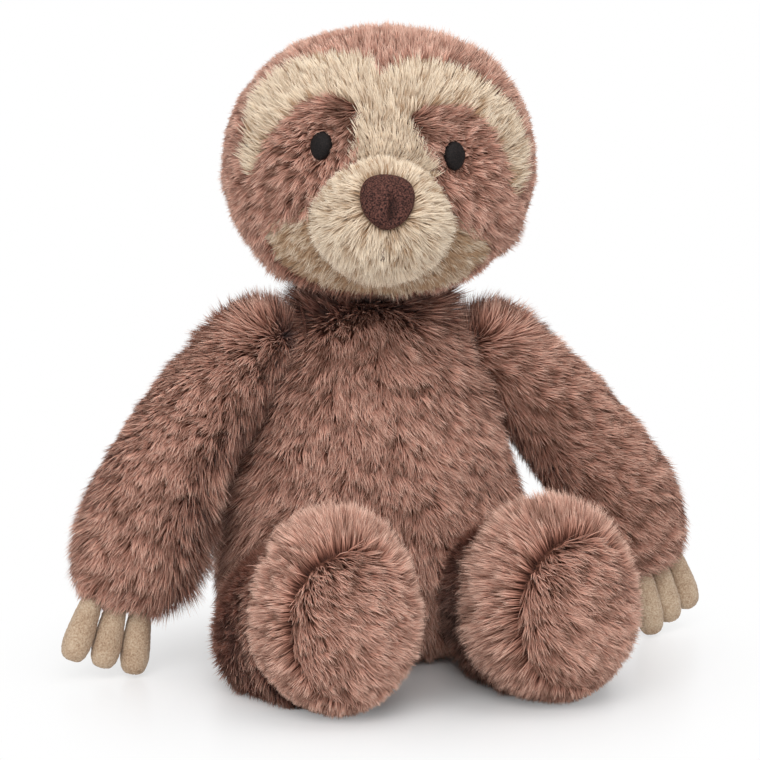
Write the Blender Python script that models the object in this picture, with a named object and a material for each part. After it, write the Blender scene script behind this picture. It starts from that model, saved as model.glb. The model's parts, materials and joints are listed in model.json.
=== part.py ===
"""A seated plush sloth: sewn panels over stuffing, with every sewn joint where the real one bends.

Metres, +Z up. The toy faces -Y and sits on z = 0. Its origin is under the middle of its box.
Each limb is built hanging down its own -Z from its joint, then placed by an empty on that joint.
"""
import math

import bmesh
import bpy
import numpy as np
from mathutils import Matrix, Vector

# Fabric, gaps and the flat under the seat and feet
COVER = 0.003
GAP = 0.0003
FLAT_DEPTH = 0.0005
REACH = 0.5
WELD = 0.000002
SIDES = {"left": -1, "right": 1}

# Torso
TORSO_HEIGHT = 0.1665
TORSO_HALF_WIDTH = 0.072
TORSO_HALF_DEPTH = 0.052
TORSO_LEAN = 0.006
TORSO_END_POWER = 3.6
TORSO_SHARES = [(0.0, 1.12, 0.98, 0.0), (0.12, 1.08, 0.98, 0.05), (0.24, 1.01, 1.0, 0.1),
                (0.42, 0.92, 0.95, 0.3), (0.6, 0.80, 0.86, 0.6), (0.76, 0.69, 0.76, 0.9),
                (0.87, 0.63, 0.68, 1.0), (1.0, 0.58, 0.62, 1.0)]
TORSO_UPSIDE_SHARES = [(1 - row[0], row[1], row[2], row[3]) for row in reversed(TORSO_SHARES)]
SEAT_SEAM_HEIGHT = 0.020
BEAN_BAG_OVER_SEAM = 0.014
TORSO_SIDE_SEAM = 0.0044

# Head, measured from the ball of the neck that it turns on
HEAD_HALF_WIDTH = 0.069
HEAD_HALF_DEPTH = 0.057
HEAD_HALF_HEIGHT = 0.058
HEAD_END_POWER = 2.15
HEAD_RISE = 0.038
NECK_PLACE = (-0.001, -0.006, 0.1845)
NECK_BALL = 0.0290
NECK_THREAD_ANGLE = 40.0
HEAD_TURN = -11.0
HEAD_TILT = 4.8

# Face, as angles on the head: to the side, and up
FACE_HALF = [(0, 51), (7, 56), (15, 60), (26, 60), (40, 58), (55, 53), (65, 44), (70, 32), (70, 20),
             (67, 8), (63, -6), (61, -20), (61, -36), (66, -50), (58, -64), (30, -71), (0, -72)]
PATCH = [(10, 24), (14, 32), (24, 35), (34, 34), (42, 28), (48, 18), (53, 8), (57, -5), (64, -12),
         (80, -24), (78, -34), (60, -33), (50, -28), (38, -23), (27, -17), (20, -8), (15, 2), (11, 12)]
PATCH_MIDDLE = (38, 3)
FACE_MIDDLE = (0, -5)
BROW_SKEW = -5.0
BROW_SKEW_FROM = 20.0
BROW_SKEW_SPAN = 30.0
BROW_CUT_ANGLE = -12.0
OUTLINE_STEPS = 2
CONE_ROOT_SHARE = 0.55
CONE_RIM_SHARE = 1.5
CONE_TIP_SHARE = 2.3
EYE_ANGLES = (26.0, 12.5)
EYE_HALF_WIDTH = 0.0048
EYE_HALF_HEIGHT = 0.0062
EYE_HALF_THICKNESS = 0.0022
EYE_SINK = 0.0008

# Muzzle, nose and mouth, from the middle of the head
MUZZLE_FORWARD = 0.044
MUZZLE_DROP = 0.0155
MUZZLE_HALF_WIDTH = 0.0305
MUZZLE_HALF_DEPTH = 0.032
MUZZLE_HALF_HEIGHT = 0.029
NOSE_HALF_WIDTH = 0.0120
NOSE_HEIGHT = 0.0230
NOSE_LIFT = 0.0085
NOSE_RISE = 0.0032
NOSE_SHARES = [(0.0, 1.0), (0.45, 0.97), (0.80, 0.87), (0.98, 0.68), (0.95, 0.44), (0.72, 0.21),
               (0.33, 0.05), (0.0, 0.0)]
MOUTH_TOP = 0.0205
MOUTH_LENGTH = 0.006
THREAD_RADIUS = 0.0008

# Arms: each hangs from its shoulder ball and bends inwards towards the hand
SHOULDER_PLACE = (0.049, -0.006, 0.1395)
LEFT_SHOULDER_RAISE = 0.006
ARM_LENGTH = 0.1385
ARM_BALL = 0.0195
ARM_HALF_WIDTH = 0.0252
ARM_HALF_DEPTH = 0.0240
ARM_END_POWER = 3.6
ARM_BEND = {"left": 42.0, "right": 41.0}
ARM_SHARES = [(0.0, 0.77, 0.80), (0.15, 0.80, 0.82), (0.35, 0.90, 0.91), (0.6, 1.0, 0.99),
              (0.8, 1.11, 0.94), (1.0, 1.20, 0.68)]
ARM_LIFT = {"left": 52.5, "right": 52.5}
ARM_SWING = {"left": 15.0, "right": -20.0}
ARM_ROLL = {"left": -10.0, "right": 50.0}
SHOULDER_THREAD_ANGLE = 47.0
ARMHOLE_NEAR = (0.018, 0.0085)
ARMHOLE_FAR = (0.062, -0.024)

# Claws: three stuffed velour tubes on one seam across the end of the hand
CLAW_LENGTH = 0.0265
CLAW_HALF_WIDTH = 0.0066
CLAW_HALF_DEPTH = 0.0060
CLAW_ROOT = 0.0050
CLAW_END_POWER = 3.2
CLAW_SPACING = 0.0116
CLAW_FAN = 6.5
CLAW_SET = 0.0022
CLAW_OFFSET = 0.003
CLAW_ROW_TILT = 5.0
CLAW_FOLD = {"left": 0.0, "right": 15.0}
CLAW_SHARES = [(0.0, 0.76, 0.76), (0.3, 0.84, 0.86), (0.7, 1.0, 1.0), (1.0, 1.04, 1.0)]
CLAW_NAMES = ("inner", "middle", "outer")

# Legs: each runs forward from its hip ball to a big upright sole
HIP_PLACE = (0.0435, -0.040)
LEG_LENGTH = 0.106
LEG_BALL = 0.0295
FOOT_HALF_WIDTH = 0.0342
FOOT_HALF_HEIGHT = 0.0424
FOOT_END_POWER = 2.9
LEG_SHARES = [(0.0, 0.79, 0.63), (0.16, 0.79, 0.64), (0.34, 0.83, 0.72), (0.55, 0.91, 0.90),
              (0.75, 1.02, 1.04), (1.0, 1.02, 1.04)]
LEG_PITCH = 5.0
LEG_SPLAY = {"left": 0.0, "right": 8.2}
SOLE_DEPTH = 0.012
LEG_SWINGS = (-25.0, 0.0, 30.0)
HIP_RELIEF_REACH = 0.058

# Detail of the meshes: sides round a form and rings along it, and how far rings draw to its ends
RING_PULL = 0.5
BIG_SEGMENTS = (22, 13)
BIG_INNER_SEGMENTS = (14, 8)
LIMB_SEGMENTS = (16, 11)
LIMB_INNER_SEGMENTS = (10, 7)
SMALL_SEGMENTS = (10, 7)
BALL_SEGMENTS = (16, 12)
THREAD_SEGMENTS = (20, 4)
MOUTH_STEPS = 4
FLOOR_SAMPLES = 200
SHARP_ANGLE = 40.0

# Finishes: colour, roughness
FINISHES = {
    "brown_pile": ((0.36, 0.22, 0.17), 0.95),
    "cream_pile": ((0.66, 0.58, 0.43), 0.95),
    "claw_velour": ((0.52, 0.42, 0.33), 0.9),
    "nose_thread": ((0.05, 0.022, 0.018), 0.6),
    "eye_thread": ((0.02, 0.012, 0.01), 0.5),
    "seam_thread": ((0.30, 0.19, 0.15), 0.8),
    "stuffing": ((0.85, 0.85, 0.83), 1.0),
    "bean_bag_cloth": ((0.75, 0.74, 0.70), 0.9),
}


def clear_scene():
    """Remove what the scene holds."""
    for thing in list(bpy.data.objects):
        bpy.data.objects.remove(thing, do_unlink=True)


def new_collection(name):
    group = bpy.data.collections.new(name)
    bpy.context.scene.collection.children.link(group)
    return group


def make_finish(name):
    """A Principled material with the colour and roughness of one finish."""
    colour, roughness = FINISHES[name]
    material = bpy.data.materials.new(name)
    material.use_nodes = True
    shader = material.node_tree.nodes["Principled BSDF"]
    shader.inputs["Base Color"].default_value = (*colour, 1.0)
    shader.inputs["Roughness"].default_value = roughness
    shader.inputs["Metallic"].default_value = 0.0
    return material


def object_from(shape, name, group):
    """Turn a bmesh into an object in a collection."""
    bmesh.ops.recalc_face_normals(shape, faces=shape.faces)
    mesh = bpy.data.meshes.new(name)
    shape.to_mesh(mesh)
    shape.free()
    thing = bpy.data.objects.new(name, mesh)
    group.objects.link(thing)
    return thing


def flow(table, column, share):
    """A smooth curve through one column of a table of shares, with a cubic between its rows."""
    rows = np.array(table)
    places = rows[:, 0]
    values = rows[:, column]
    slopes = np.gradient(values, places)
    span = np.clip(np.searchsorted(places, share, side="right") - 1, 0, len(places) - 2)
    width = places[span + 1] - places[span]
    t = np.clip((share - places[span]) / width, 0, 1)
    start = values[span] * (2 * t**3 - 3 * t**2 + 1) + slopes[span] * width * (t**3 - 2 * t**2 + t)
    end = values[span + 1] * (3 * t**2 - 2 * t**3) + slopes[span + 1] * width * (t**3 - t**2)
    return start + end


class Form:
    """A stuffed form: a unit ball stretched along a spine, with a swelling width and depth.

    The spine runs down -Z from start above the joint, and bends by some degrees towards +X times side.
    """

    def __init__(self, length, width, depth, power, table, start=0.0, bend=0.0, side=1, lean=0.0):
        self.length = length
        self.width = width
        self.depth = depth
        self.power = power
        self.table = table
        self.start = start
        self.bend = math.radians(bend)
        self.side = side
        self.lean = lean

    def spine(self, along):
        """Place and turning angle of the spine at a distance from the joint, as arrays."""
        along = np.asarray(along, dtype=float)
        bent_length = self.length - self.start
        angle = np.clip(along, 0, None) / bent_length * self.bend
        if self.bend == 0:
            return along * 0, -along, angle
        radius = bent_length / self.bend
        across = self.side * radius * (1 - np.cos(angle))
        down = np.where(along > 0, -radius * np.sin(angle), -along)
        return across, down, angle

    def points(self, unit, inset):
        """Carry points of a unit ball, +Z first, onto the form, inset under its surface.

        The rings are drawn towards both ends, where the form turns fastest.
        """
        along = unit[:, 2] * (1 + RING_PULL - RING_PULL * unit[:, 2] ** 2)
        ring = np.hypot(unit[:, 0], unit[:, 1])
        ring = np.where(ring > GAP, ring, 1)
        share = (1 - along) / 2
        share = inset / self.length + share * (1 - 2 * inset / self.length)
        rounding = np.clip(1 - np.abs(along) ** self.power, 0, 1) ** (1 / self.power)
        wide = unit[:, 0] / ring * rounding * (self.width * flow(self.table, 1, share) - inset)
        deep = unit[:, 1] / ring * rounding * (self.depth * flow(self.table, 2, share) - inset)
        across, down, angle = self.spine(share * self.length - self.start)
        shift = self.lean * flow(self.table, 3, 1 - share) if self.lean else 0
        x = across + wide * np.cos(angle)
        z = down + self.side * wide * np.sin(angle)
        return np.stack([x, deep - shift, z], axis=1)

    def solid(self, name, group, detail, inset=0.0):
        """The closed solid of the form."""
        shape = bmesh.new()
        bmesh.ops.create_uvsphere(shape, u_segments=detail[0], v_segments=detail[1], radius=1)
        unit = np.array([vertex.co for vertex in shape.verts])
        for vertex, place in zip(shape.verts, self.points(unit, inset)):
            vertex.co = place
        bmesh.ops.triangulate(shape, faces=shape.faces, quad_method="FIXED")
        return object_from(shape, name, group)


def ball(name, group, radius, place=(0, 0, 0), stretch=(1, 1, 1), detail=BALL_SEGMENTS):
    """A ball or, with a stretch, an ellipsoid."""
    shape = bmesh.new()
    bmesh.ops.create_uvsphere(shape, u_segments=detail[0], v_segments=detail[1], radius=radius)
    bmesh.ops.scale(shape, vec=Vector(stretch), verts=shape.verts)
    bmesh.ops.translate(shape, vec=Vector(place), verts=shape.verts)
    return object_from(shape, name, group)


def socket(name, group, radius, place=(0, 0, 0), detail=BALL_SEGMENTS):
    """A ball that goes round another ball with a gap, also where its own faces are flat."""
    flat = math.cos(math.pi / detail[0]) * math.cos(math.pi / detail[1] / 2)
    return ball(name, group, (radius + GAP) / flat, place, detail=detail)


def block(name, group, low, high):
    """A box between two corners."""
    shape = bmesh.new()
    bmesh.ops.create_cube(shape, size=1)
    size = Vector(high) - Vector(low)
    bmesh.ops.scale(shape, vec=size, verts=shape.verts)
    bmesh.ops.translate(shape, vec=(Vector(high) + Vector(low)) / 2, verts=shape.verts)
    return object_from(shape, name, group)


def thread_ring(name, group, radius, thickness, place, turn):
    """A ring of stitches, as a turned torus round its own Z, then turned and placed."""
    bpy.ops.mesh.primitive_torus_add(major_radius=radius, minor_radius=thickness,
                                     major_segments=THREAD_SEGMENTS[0], minor_segments=THREAD_SEGMENTS[1])
    ring = bpy.context.object
    ring.name = name
    ring.data.transform(Matrix.Translation(place) @ turn)
    for owner in list(ring.users_collection):
        owner.objects.unlink(ring)
    group.objects.link(ring)
    return ring


def carve(target, cutter, operation="DIFFERENCE"):
    """Cut the target with the cutter and keep the result as the target's own mesh."""
    modifier = target.modifiers.new("cut", "BOOLEAN")
    modifier.operation = operation
    modifier.solver = "EXACT"
    modifier.object = cutter
    bpy.context.view_layer.update()
    evaluated = target.evaluated_get(bpy.context.evaluated_depsgraph_get())
    result = bpy.data.meshes.new_from_object(evaluated)
    shape = bmesh.new()
    shape.from_mesh(result)
    bmesh.ops.remove_doubles(shape, verts=shape.verts, dist=WELD)
    shape.to_mesh(result)
    shape.free()
    target.modifiers.remove(modifier)
    old = target.data
    target.data = result
    bpy.data.meshes.remove(old)
    return target


def copy_of(thing, name, group):
    twin = bpy.data.objects.new(name, thing.data.copy())
    group.objects.link(twin)
    return twin


def part_of(shell, cutter, name, group):
    """The part of a shell that lies inside a cutter, as a new object."""
    return carve(copy_of(shell, name, group), cutter, "INTERSECT")


def closed_curve(points, steps):
    """A smooth closed outline through its points, with steps between them, after Catmull and Rom."""
    here = np.array(points, dtype=float)
    before = np.roll(here, 1, axis=0)
    after = np.roll(here, -1, axis=0)
    later = np.roll(here, -2, axis=0)
    rows = []
    for step in range(steps):
        t = step / steps
        rows.append(0.5 * (2 * here + (after - before) * t
                           + (2 * before - 5 * here + 4 * after - later) * t**2
                           + (3 * here - before - 3 * after + later) * t**3))
    return np.stack(rows, axis=1).reshape(-1, 2)


def brow_skew(up):
    """How far to the side the top of the face is drawn at an angle up the head."""
    return BROW_SKEW * min(max((up - BROW_SKEW_FROM) / BROW_SKEW_SPAN, 0), 1)


def head_direction(angles):
    """Unit direction from angles to the side and up, with the face towards -Y."""
    side, up = np.radians(np.asarray(angles, dtype=float)).T
    return np.stack([np.sin(side) * np.cos(up), -np.cos(side) * np.cos(up), np.sin(up)], axis=-1)


def head_point(angles, scale=1.0):
    """A point on the head's ellipsoid, or on a scaled copy of it, in the head's frame."""
    size = np.array([HEAD_HALF_WIDTH, HEAD_HALF_DEPTH, HEAD_HALF_HEIGHT])
    return head_direction(angles) * size * scale + np.array([0, 0, HEAD_RISE])


def face_cutter(name, group, outline, middle, shrink=0.0):
    """A cone from deep in the head out through an outline on it, closed by fans at both ends."""
    ring = closed_curve(outline, OUTLINE_STEPS)
    pull = np.array(middle, dtype=float) - ring
    pull /= np.linalg.norm(pull, axis=1)[:, None]
    ring = ring + pull * math.degrees(shrink / HEAD_HALF_DEPTH)
    shape = bmesh.new()
    inner = [shape.verts.new(place) for place in head_point(ring, CONE_ROOT_SHARE)]
    outer = [shape.verts.new(place) for place in head_point(ring, CONE_RIM_SHARE)]
    root = shape.verts.new(head_point(middle, CONE_ROOT_SHARE))
    tip = shape.verts.new(head_point(middle, CONE_TIP_SHARE))
    for index in range(len(inner)):
        following = (index + 1) % len(inner)
        shape.faces.new((inner[index], inner[following], outer[following], outer[index]))
        shape.faces.new((root, inner[following], inner[index]))
        shape.faces.new((tip, outer[index], outer[following]))
    return object_from(shape, name, group)


def shoulder_point(side):
    """Where a shoulder's ball is: the toy slouches, so the left one sits a little higher."""
    rise = LEFT_SHOULDER_RAISE if side < 0 else 0
    return Vector((side * SHOULDER_PLACE[0], SHOULDER_PLACE[1], SHOULDER_PLACE[2] + rise))


def shoulder_matrix(name):
    """Turn and place of an arm's frame: rolled, lifted outwards, swung, then moved to its joint."""
    side = SIDES[name]
    place = Matrix.Translation(shoulder_point(side))
    swing = Matrix.Rotation(math.radians(-ARM_SWING[name]), 4, "X")
    lift = Matrix.Rotation(math.radians(-side * ARM_LIFT[name]), 4, "Y")
    roll = Matrix.Rotation(math.radians(side * ARM_ROLL[name]), 4, "Z")
    return place @ swing @ lift @ roll


def leg_form():
    """The leg and foot: a root that fits the hip, swelling to the upright sole."""
    return Form(LEG_LENGTH + LEG_BALL / 2, FOOT_HALF_WIDTH, FOOT_HALF_HEIGHT, FOOT_END_POWER, LEG_SHARES,
                start=LEG_BALL / 2)


def hip_height():
    """Height of the hip that sets the foot's lowest point the depth of its flat below the floor."""
    along = np.linspace(-1, 1, FLOOR_SAMPLES)
    under = np.stack([along * 0, -np.sqrt(1 - along**2), along], axis=1)
    line = leg_form().points(under, 0)
    pitch = math.radians(LEG_PITCH)
    return -FLAT_DEPTH - np.min(line[:, 1] * math.cos(pitch) - line[:, 2] * math.sin(pitch))


def hip_point(side):
    return Vector((side * HIP_PLACE[0], HIP_PLACE[1], hip_height()))


def hip_matrix(name):
    """Turn and place of a leg's frame: its -Z runs forward, a little up and outwards."""
    side = SIDES[name]
    splay = Matrix.Rotation(math.radians(side * LEG_SPLAY[name]), 4, "Z")
    pitch = Matrix.Rotation(math.radians(-90 - LEG_PITCH), 4, "X")
    return Matrix.Translation(hip_point(side)) @ splay @ pitch


def neck_matrix():
    turn = Matrix.Rotation(math.radians(HEAD_TURN), 4, "Z")
    tilt = Matrix.Rotation(math.radians(HEAD_TILT), 4, "Y")
    return Matrix.Translation(NECK_PLACE) @ turn @ tilt


def add_empty(name, matrix, group, parent=None):
    empty = bpy.data.objects.new(name, None)
    group.objects.link(empty)
    empty.parent = parent
    empty.matrix_world = matrix
    return empty


def finish(thing, finish_name, parent=None):
    """Give a piece its finish, smooth faces with sharp seams, and its parent."""
    thing.data.materials.clear()
    thing.data.materials.append(MATERIALS[finish_name])
    thing.data.shade_smooth()
    thing.data.set_sharp_from_angle(angle=math.radians(SHARP_ANGLE))
    thing.parent = parent
    return thing


def shell_and_core(form, tools, label, outer_detail, inner_detail, root_ball=None):
    """A cover of even thickness round a form, and the stuffing inside it, a gap apart.

    A root ball is joined on at the joint, which is where the form turns in its socket.
    """
    outer = form.solid(label + "_shell", tools, outer_detail)
    inner = form.solid(label + "_inside", tools, inner_detail, COVER)
    core = form.solid(label + "_core", tools, inner_detail, COVER + GAP)
    if root_ball:
        carve(outer, ball("root", tools, root_ball), "UNION")
        carve(inner, ball("root", tools, root_ball - COVER), "UNION")
        carve(core, ball("root", tools, root_ball - COVER - GAP), "UNION")
    carve(outer, inner)
    return outer, core


def thread_place(radius, angle):
    """Distance along the axis, and ring radius, of a thread on a ball at an angle from its axis."""
    out = radius + GAP + THREAD_RADIUS
    return out * math.cos(math.radians(angle)), out * math.sin(math.radians(angle))


def neck_thread(name, group, grow=0.0):
    down, radius = thread_place(NECK_BALL, NECK_THREAD_ANGLE)
    place = Vector(NECK_PLACE) - Vector((0, 0, down))
    return thread_ring(name, group, radius, THREAD_RADIUS + grow, place, Matrix.Identity(4))


def shoulder_thread(name, group, side, grow=0.0):
    inward, radius = thread_place(ARM_BALL, SHOULDER_THREAD_ANGLE)
    place = shoulder_point(side) - Vector((side * inward, 0, 0))
    turn = Matrix.Rotation(math.radians(90), 4, "Y")
    return thread_ring(name, group, radius, THREAD_RADIUS + grow, place, turn)


def armhole_cutter(name, group, side):
    """A turned cone about the shoulder's axis that leaves room for the arm to swing past."""
    shape = bmesh.new()
    near_radius, near_in = ARMHOLE_NEAR
    far_radius, far_in = ARMHOLE_FAR
    bmesh.ops.create_cone(shape, cap_ends=True, segments=BALL_SEGMENTS[0], radius1=near_radius,
                          radius2=far_radius, depth=near_in - far_in)
    middle = (near_in + far_in) / 2
    bmesh.ops.rotate(shape, cent=(0, 0, 0), matrix=Matrix.Rotation(math.radians(side * 90), 3, "Y"),
                     verts=shape.verts)
    place = shoulder_point(side) - Vector((side * middle, 0, 0))
    bmesh.ops.translate(shape, vec=place, verts=shape.verts)
    return object_from(shape, name, group)


def hip_relief(name, group, limb):
    """The room that a thigh swings through: the hull of its near part over the whole swing."""
    shape = bmesh.new()
    bmesh.ops.create_uvsphere(shape, u_segments=LIMB_SEGMENTS[0], v_segments=LIMB_SEGMENTS[1], radius=1)
    unit = np.array([vertex.co for vertex in shape.verts])
    shape.clear()
    thigh = leg_form().points(unit, -GAP)
    thigh = thigh[np.linalg.norm(thigh, axis=1) < HIP_RELIEF_REACH]
    hip = Matrix.Translation(hip_point(SIDES[limb]))
    for swing in LEG_SWINGS:
        turn = hip @ Matrix.Rotation(math.radians(-swing), 4, "X") @ hip.inverted() @ hip_matrix(limb)
        for place in thigh:
            shape.verts.new(turn @ Vector(place))
    hull = bmesh.ops.convex_hull(shape, input=shape.verts)
    bmesh.ops.delete(shape, geom=hull["geom_interior"], context="VERTS")
    return object_from(shape, name, group)


def build_torso(parts, tools):
    """Four panels and a seat panel round the stuffing, with a bag of pellets under it."""
    form = Form(TORSO_HEIGHT + FLAT_DEPTH, TORSO_HALF_WIDTH, TORSO_HALF_DEPTH, TORSO_END_POWER,
                TORSO_UPSIDE_SHARES, start=TORSO_HEIGHT, lean=TORSO_LEAN)
    shell, core = shell_and_core(form, tools, "torso", BIG_SEGMENTS, BIG_INNER_SEGMENTS)
    cutters = [block("floor", tools, (-REACH, -REACH, -REACH), (REACH, REACH, 0)),
               socket("neck_socket", tools, NECK_BALL, NECK_PLACE),
               neck_thread("neck_groove", tools, GAP)]
    for name, side in SIDES.items():
        cutters.append(armhole_cutter("armhole_" + name, tools, side))
        cutters.append(socket("shoulder_socket_" + name, tools, ARM_BALL, shoulder_point(side)))
        cutters.append(shoulder_thread("shoulder_groove_" + name, tools, side, GAP))
        cutters.append(socket("hip_socket_" + name, tools, LEG_BALL, hip_point(side)))
        cutters.append(hip_relief("hip_relief_" + name, tools, name))
    for cutter in cutters:
        carve(shell, cutter)
        carve(core, cutter)
    half = GAP / 2
    regions = {
        "belly_left": ((-REACH, -REACH, SEAT_SEAM_HEIGHT + half), (-half, TORSO_SIDE_SEAM - half, REACH)),
        "belly_right": ((half, -REACH, SEAT_SEAM_HEIGHT + half), (REACH, TORSO_SIDE_SEAM - half, REACH)),
        "back_left": ((-REACH, TORSO_SIDE_SEAM + half, SEAT_SEAM_HEIGHT + half), (-half, REACH, REACH)),
        "back_right": ((half, TORSO_SIDE_SEAM + half, SEAT_SEAM_HEIGHT + half), (REACH, REACH, REACH)),
        "seat_panel": ((-REACH, -REACH, -REACH), (REACH, REACH, SEAT_SEAM_HEIGHT - half)),
    }
    for name, (low, high) in regions.items():
        finish(part_of(shell, block("region", tools, low, high), name, parts), "brown_pile")
    bag_top = SEAT_SEAM_HEIGHT + BEAN_BAG_OVER_SEAM
    above = block("region", tools, (-REACH, -REACH, bag_top + half), (REACH, REACH, REACH))
    below = block("region", tools, (-REACH, -REACH, -REACH), (REACH, REACH, bag_top - half))
    finish(part_of(core, above, "torso_stuffing", parts), "stuffing")
    finish(part_of(core, below, "seat_bean_bag", parts), "bean_bag_cloth")


def muzzle_ball(name, group, grow, detail):
    """The muzzle's ellipsoid, grown or shrunk by a distance."""
    stretch = (MUZZLE_HALF_WIDTH + grow, MUZZLE_HALF_DEPTH + grow, MUZZLE_HALF_HEIGHT + grow)
    return ball(name, group, 1, (0, -MUZZLE_FORWARD, HEAD_RISE - MUZZLE_DROP), stretch, detail)


def build_nose(parts, tools, neck):
    """The shield of the nose: an outline pushed back onto the muzzle, as thick as its rise."""
    half = [(NOSE_HALF_WIDTH * across, NOSE_HEIGHT * up) for across, up in NOSE_SHARES]
    mirrored = [(-across, up) for across, up in reversed(half[1:-1])]
    outline = closed_curve(half + mirrored, OUTLINE_STEPS)
    base = HEAD_RISE - MUZZLE_DROP + NOSE_LIFT - NOSE_HEIGHT / 2
    shape = bmesh.new()
    front = [shape.verts.new((x, -MUZZLE_FORWARD - REACH, base + z)) for x, z in outline]
    back = [shape.verts.new((x, -MUZZLE_FORWARD, base + z)) for x, z in outline]
    shape.faces.new(front)
    shape.faces.new(back)
    for index in range(len(front)):
        following = (index + 1) % len(front)
        shape.faces.new((front[index], front[following], back[following], back[index]))
    prism = object_from(shape, "nose_outline", tools)
    nose = copy_of(muzzle_ball("nose_ball", tools, NOSE_RISE, BIG_SEGMENTS), "nose", parts)
    carve(nose, prism, "INTERSECT")
    carve(nose, muzzle_ball("nose_seat", tools, GAP, BIG_SEGMENTS))
    finish(nose, "nose_thread", neck)


def build_mouth(parts, neck):
    """The upright stitch under the nose, a thread laid down the muzzle's front."""
    middle = np.array([0, -MUZZLE_FORWARD, HEAD_RISE - MUZZLE_DROP])
    clear = THREAD_RADIUS + GAP
    depth = MUZZLE_HALF_DEPTH + clear
    height = MUZZLE_HALF_HEIGHT + clear
    curve = bpy.data.curves.new("mouth_stitch", "CURVE")
    curve.dimensions = "3D"
    curve.bevel_depth = THREAD_RADIUS
    curve.bevel_resolution = 1
    curve.use_fill_caps = True
    line = curve.splines.new("POLY")
    line.points.add(MOUTH_STEPS)
    for index in range(MOUTH_STEPS + 1):
        low = MOUTH_TOP - NOSE_LIFT + MOUTH_LENGTH * index / MOUTH_STEPS
        out = depth * math.sqrt(1 - (low / height) ** 2)
        place = middle + np.array([0, -out, -low])
        line.points[index].co = (*place, 1)
    guide = bpy.data.objects.new("mouth_guide", curve)
    bpy.context.scene.collection.objects.link(guide)
    bpy.context.view_layer.update()
    evaluated = guide.evaluated_get(bpy.context.evaluated_depsgraph_get())
    mesh = bpy.data.meshes.new_from_object(evaluated)
    bpy.data.objects.remove(guide)
    shape = bmesh.new()
    shape.from_mesh(mesh)
    bmesh.ops.remove_doubles(shape, verts=shape.verts, dist=GAP / 3)
    bpy.data.meshes.remove(mesh)
    finish(object_from(shape, "mouth_stitch", parts), "nose_thread", neck)


def eye_ball(name, group, side, grow):
    """The lens of an embroidered eye, sunk a little into the head."""
    angles = (side * EYE_ANGLES[0], EYE_ANGLES[1])
    out = Vector(head_direction(angles) / np.array([HEAD_HALF_WIDTH, HEAD_HALF_DEPTH, HEAD_HALF_HEIGHT]))
    out.normalize()
    stretch = (EYE_HALF_WIDTH + grow, EYE_HALF_THICKNESS + grow, EYE_HALF_HEIGHT + grow)
    lens = ball(name, group, 1, stretch=stretch, detail=SMALL_SEGMENTS)
    across = Vector((0, 0, 1)).cross(out).normalized()
    turn = Matrix((across, out, across.cross(out))).transposed().to_4x4()
    place = Vector(head_point(angles)) - out * EYE_SINK
    lens.data.transform(Matrix.Translation(place) @ turn)
    return lens


def build_head(parts, tools):
    """Back panels, brow, eye patches and cheeks on one form, with the muzzle on its front."""
    form = Form(2 * HEAD_HALF_HEIGHT, HEAD_HALF_WIDTH, HEAD_HALF_DEPTH, HEAD_END_POWER,
                [(0, 1, 1), (1, 1, 1)], start=HEAD_RISE + HEAD_HALF_HEIGHT)
    shell, core = shell_and_core(form, tools, "head", BIG_SEGMENTS, BIG_INNER_SEGMENTS, NECK_BALL)
    neck = add_empty("neck", neck_matrix(), parts)
    left_face = [(-side, up) for side, up in reversed(FACE_HALF[1:-1])]
    outline = [(side + brow_skew(up), up) for side, up in FACE_HALF + left_face]
    face_hole = face_cutter("face_hole", tools, outline, FACE_MIDDLE)
    face_field = face_cutter("face_field", tools, outline, FACE_MIDDLE, GAP)
    face = part_of(shell, face_field, "face", tools)
    carve(shell, face_hole)
    half = GAP / 2
    left_block = block("left", tools, (-REACH, -REACH, -REACH), (-half, REACH, REACH))
    right_block = block("right", tools, (half, -REACH, -REACH), (REACH, REACH, REACH))
    finish(part_of(shell, left_block, "head_back_left", parts), "brown_pile", neck)
    finish(part_of(shell, right_block, "head_back_right", parts), "brown_pile", neck)
    carve(face, muzzle_ball("muzzle_hole", tools, GAP, BIG_SEGMENTS))
    for name, side in SIDES.items():
        outline = [(side * across, up) for across, up in PATCH]
        middle = (side * PATCH_MIDDLE[0], PATCH_MIDDLE[1])
        field = face_cutter("patch_field_" + name, tools, outline, middle, GAP)
        patch = part_of(face, field, "eye_patch_" + name, parts)
        carve(face, face_cutter("patch_hole_" + name, tools, outline, middle))
        carve(patch, eye_ball("eye_seat_" + name, tools, side, GAP))
        finish(patch, "brown_pile", neck)
        eye = eye_ball("eye_" + name, parts, side, 0)
        finish(eye, "eye_thread", neck)
    split = HEAD_RISE + HEAD_HALF_HEIGHT * math.sin(math.radians(BROW_CUT_ANGLE))
    upper = block("upper", tools, (-REACH, -REACH, split + half), (REACH, REACH, REACH))
    lower = block("lower", tools, (-REACH, -REACH, -REACH), (REACH, REACH, split - half))
    finish(part_of(face, upper, "brow_panel", parts), "cream_pile", neck)
    finish(part_of(face, lower, "cheek_panel", parts), "cream_pile", neck)
    head_inside = form.solid("head_inside", tools, BIG_INNER_SEGMENTS, COVER)
    muzzle = copy_of(muzzle_ball("muzzle_outer", tools, 0, BIG_SEGMENTS), "muzzle_panel", parts)
    carve(muzzle, muzzle_ball("muzzle_inner", tools, -COVER, BIG_INNER_SEGMENTS))
    carve(muzzle, head_inside)
    wad = copy_of(muzzle_ball("wad", tools, -COVER - GAP, BIG_INNER_SEGMENTS), "muzzle_stuffing", parts)
    carve(wad, head_inside)
    finish(muzzle, "cream_pile", neck)
    finish(wad, "stuffing", neck)
    stuffing = copy_of(core, "head_stuffing", parts)
    finish(stuffing, "stuffing", neck)
    build_nose(parts, tools, neck)
    build_mouth(parts, neck)
    finish(neck_thread("neck_seam_thread", parts), "seam_thread")


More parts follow.
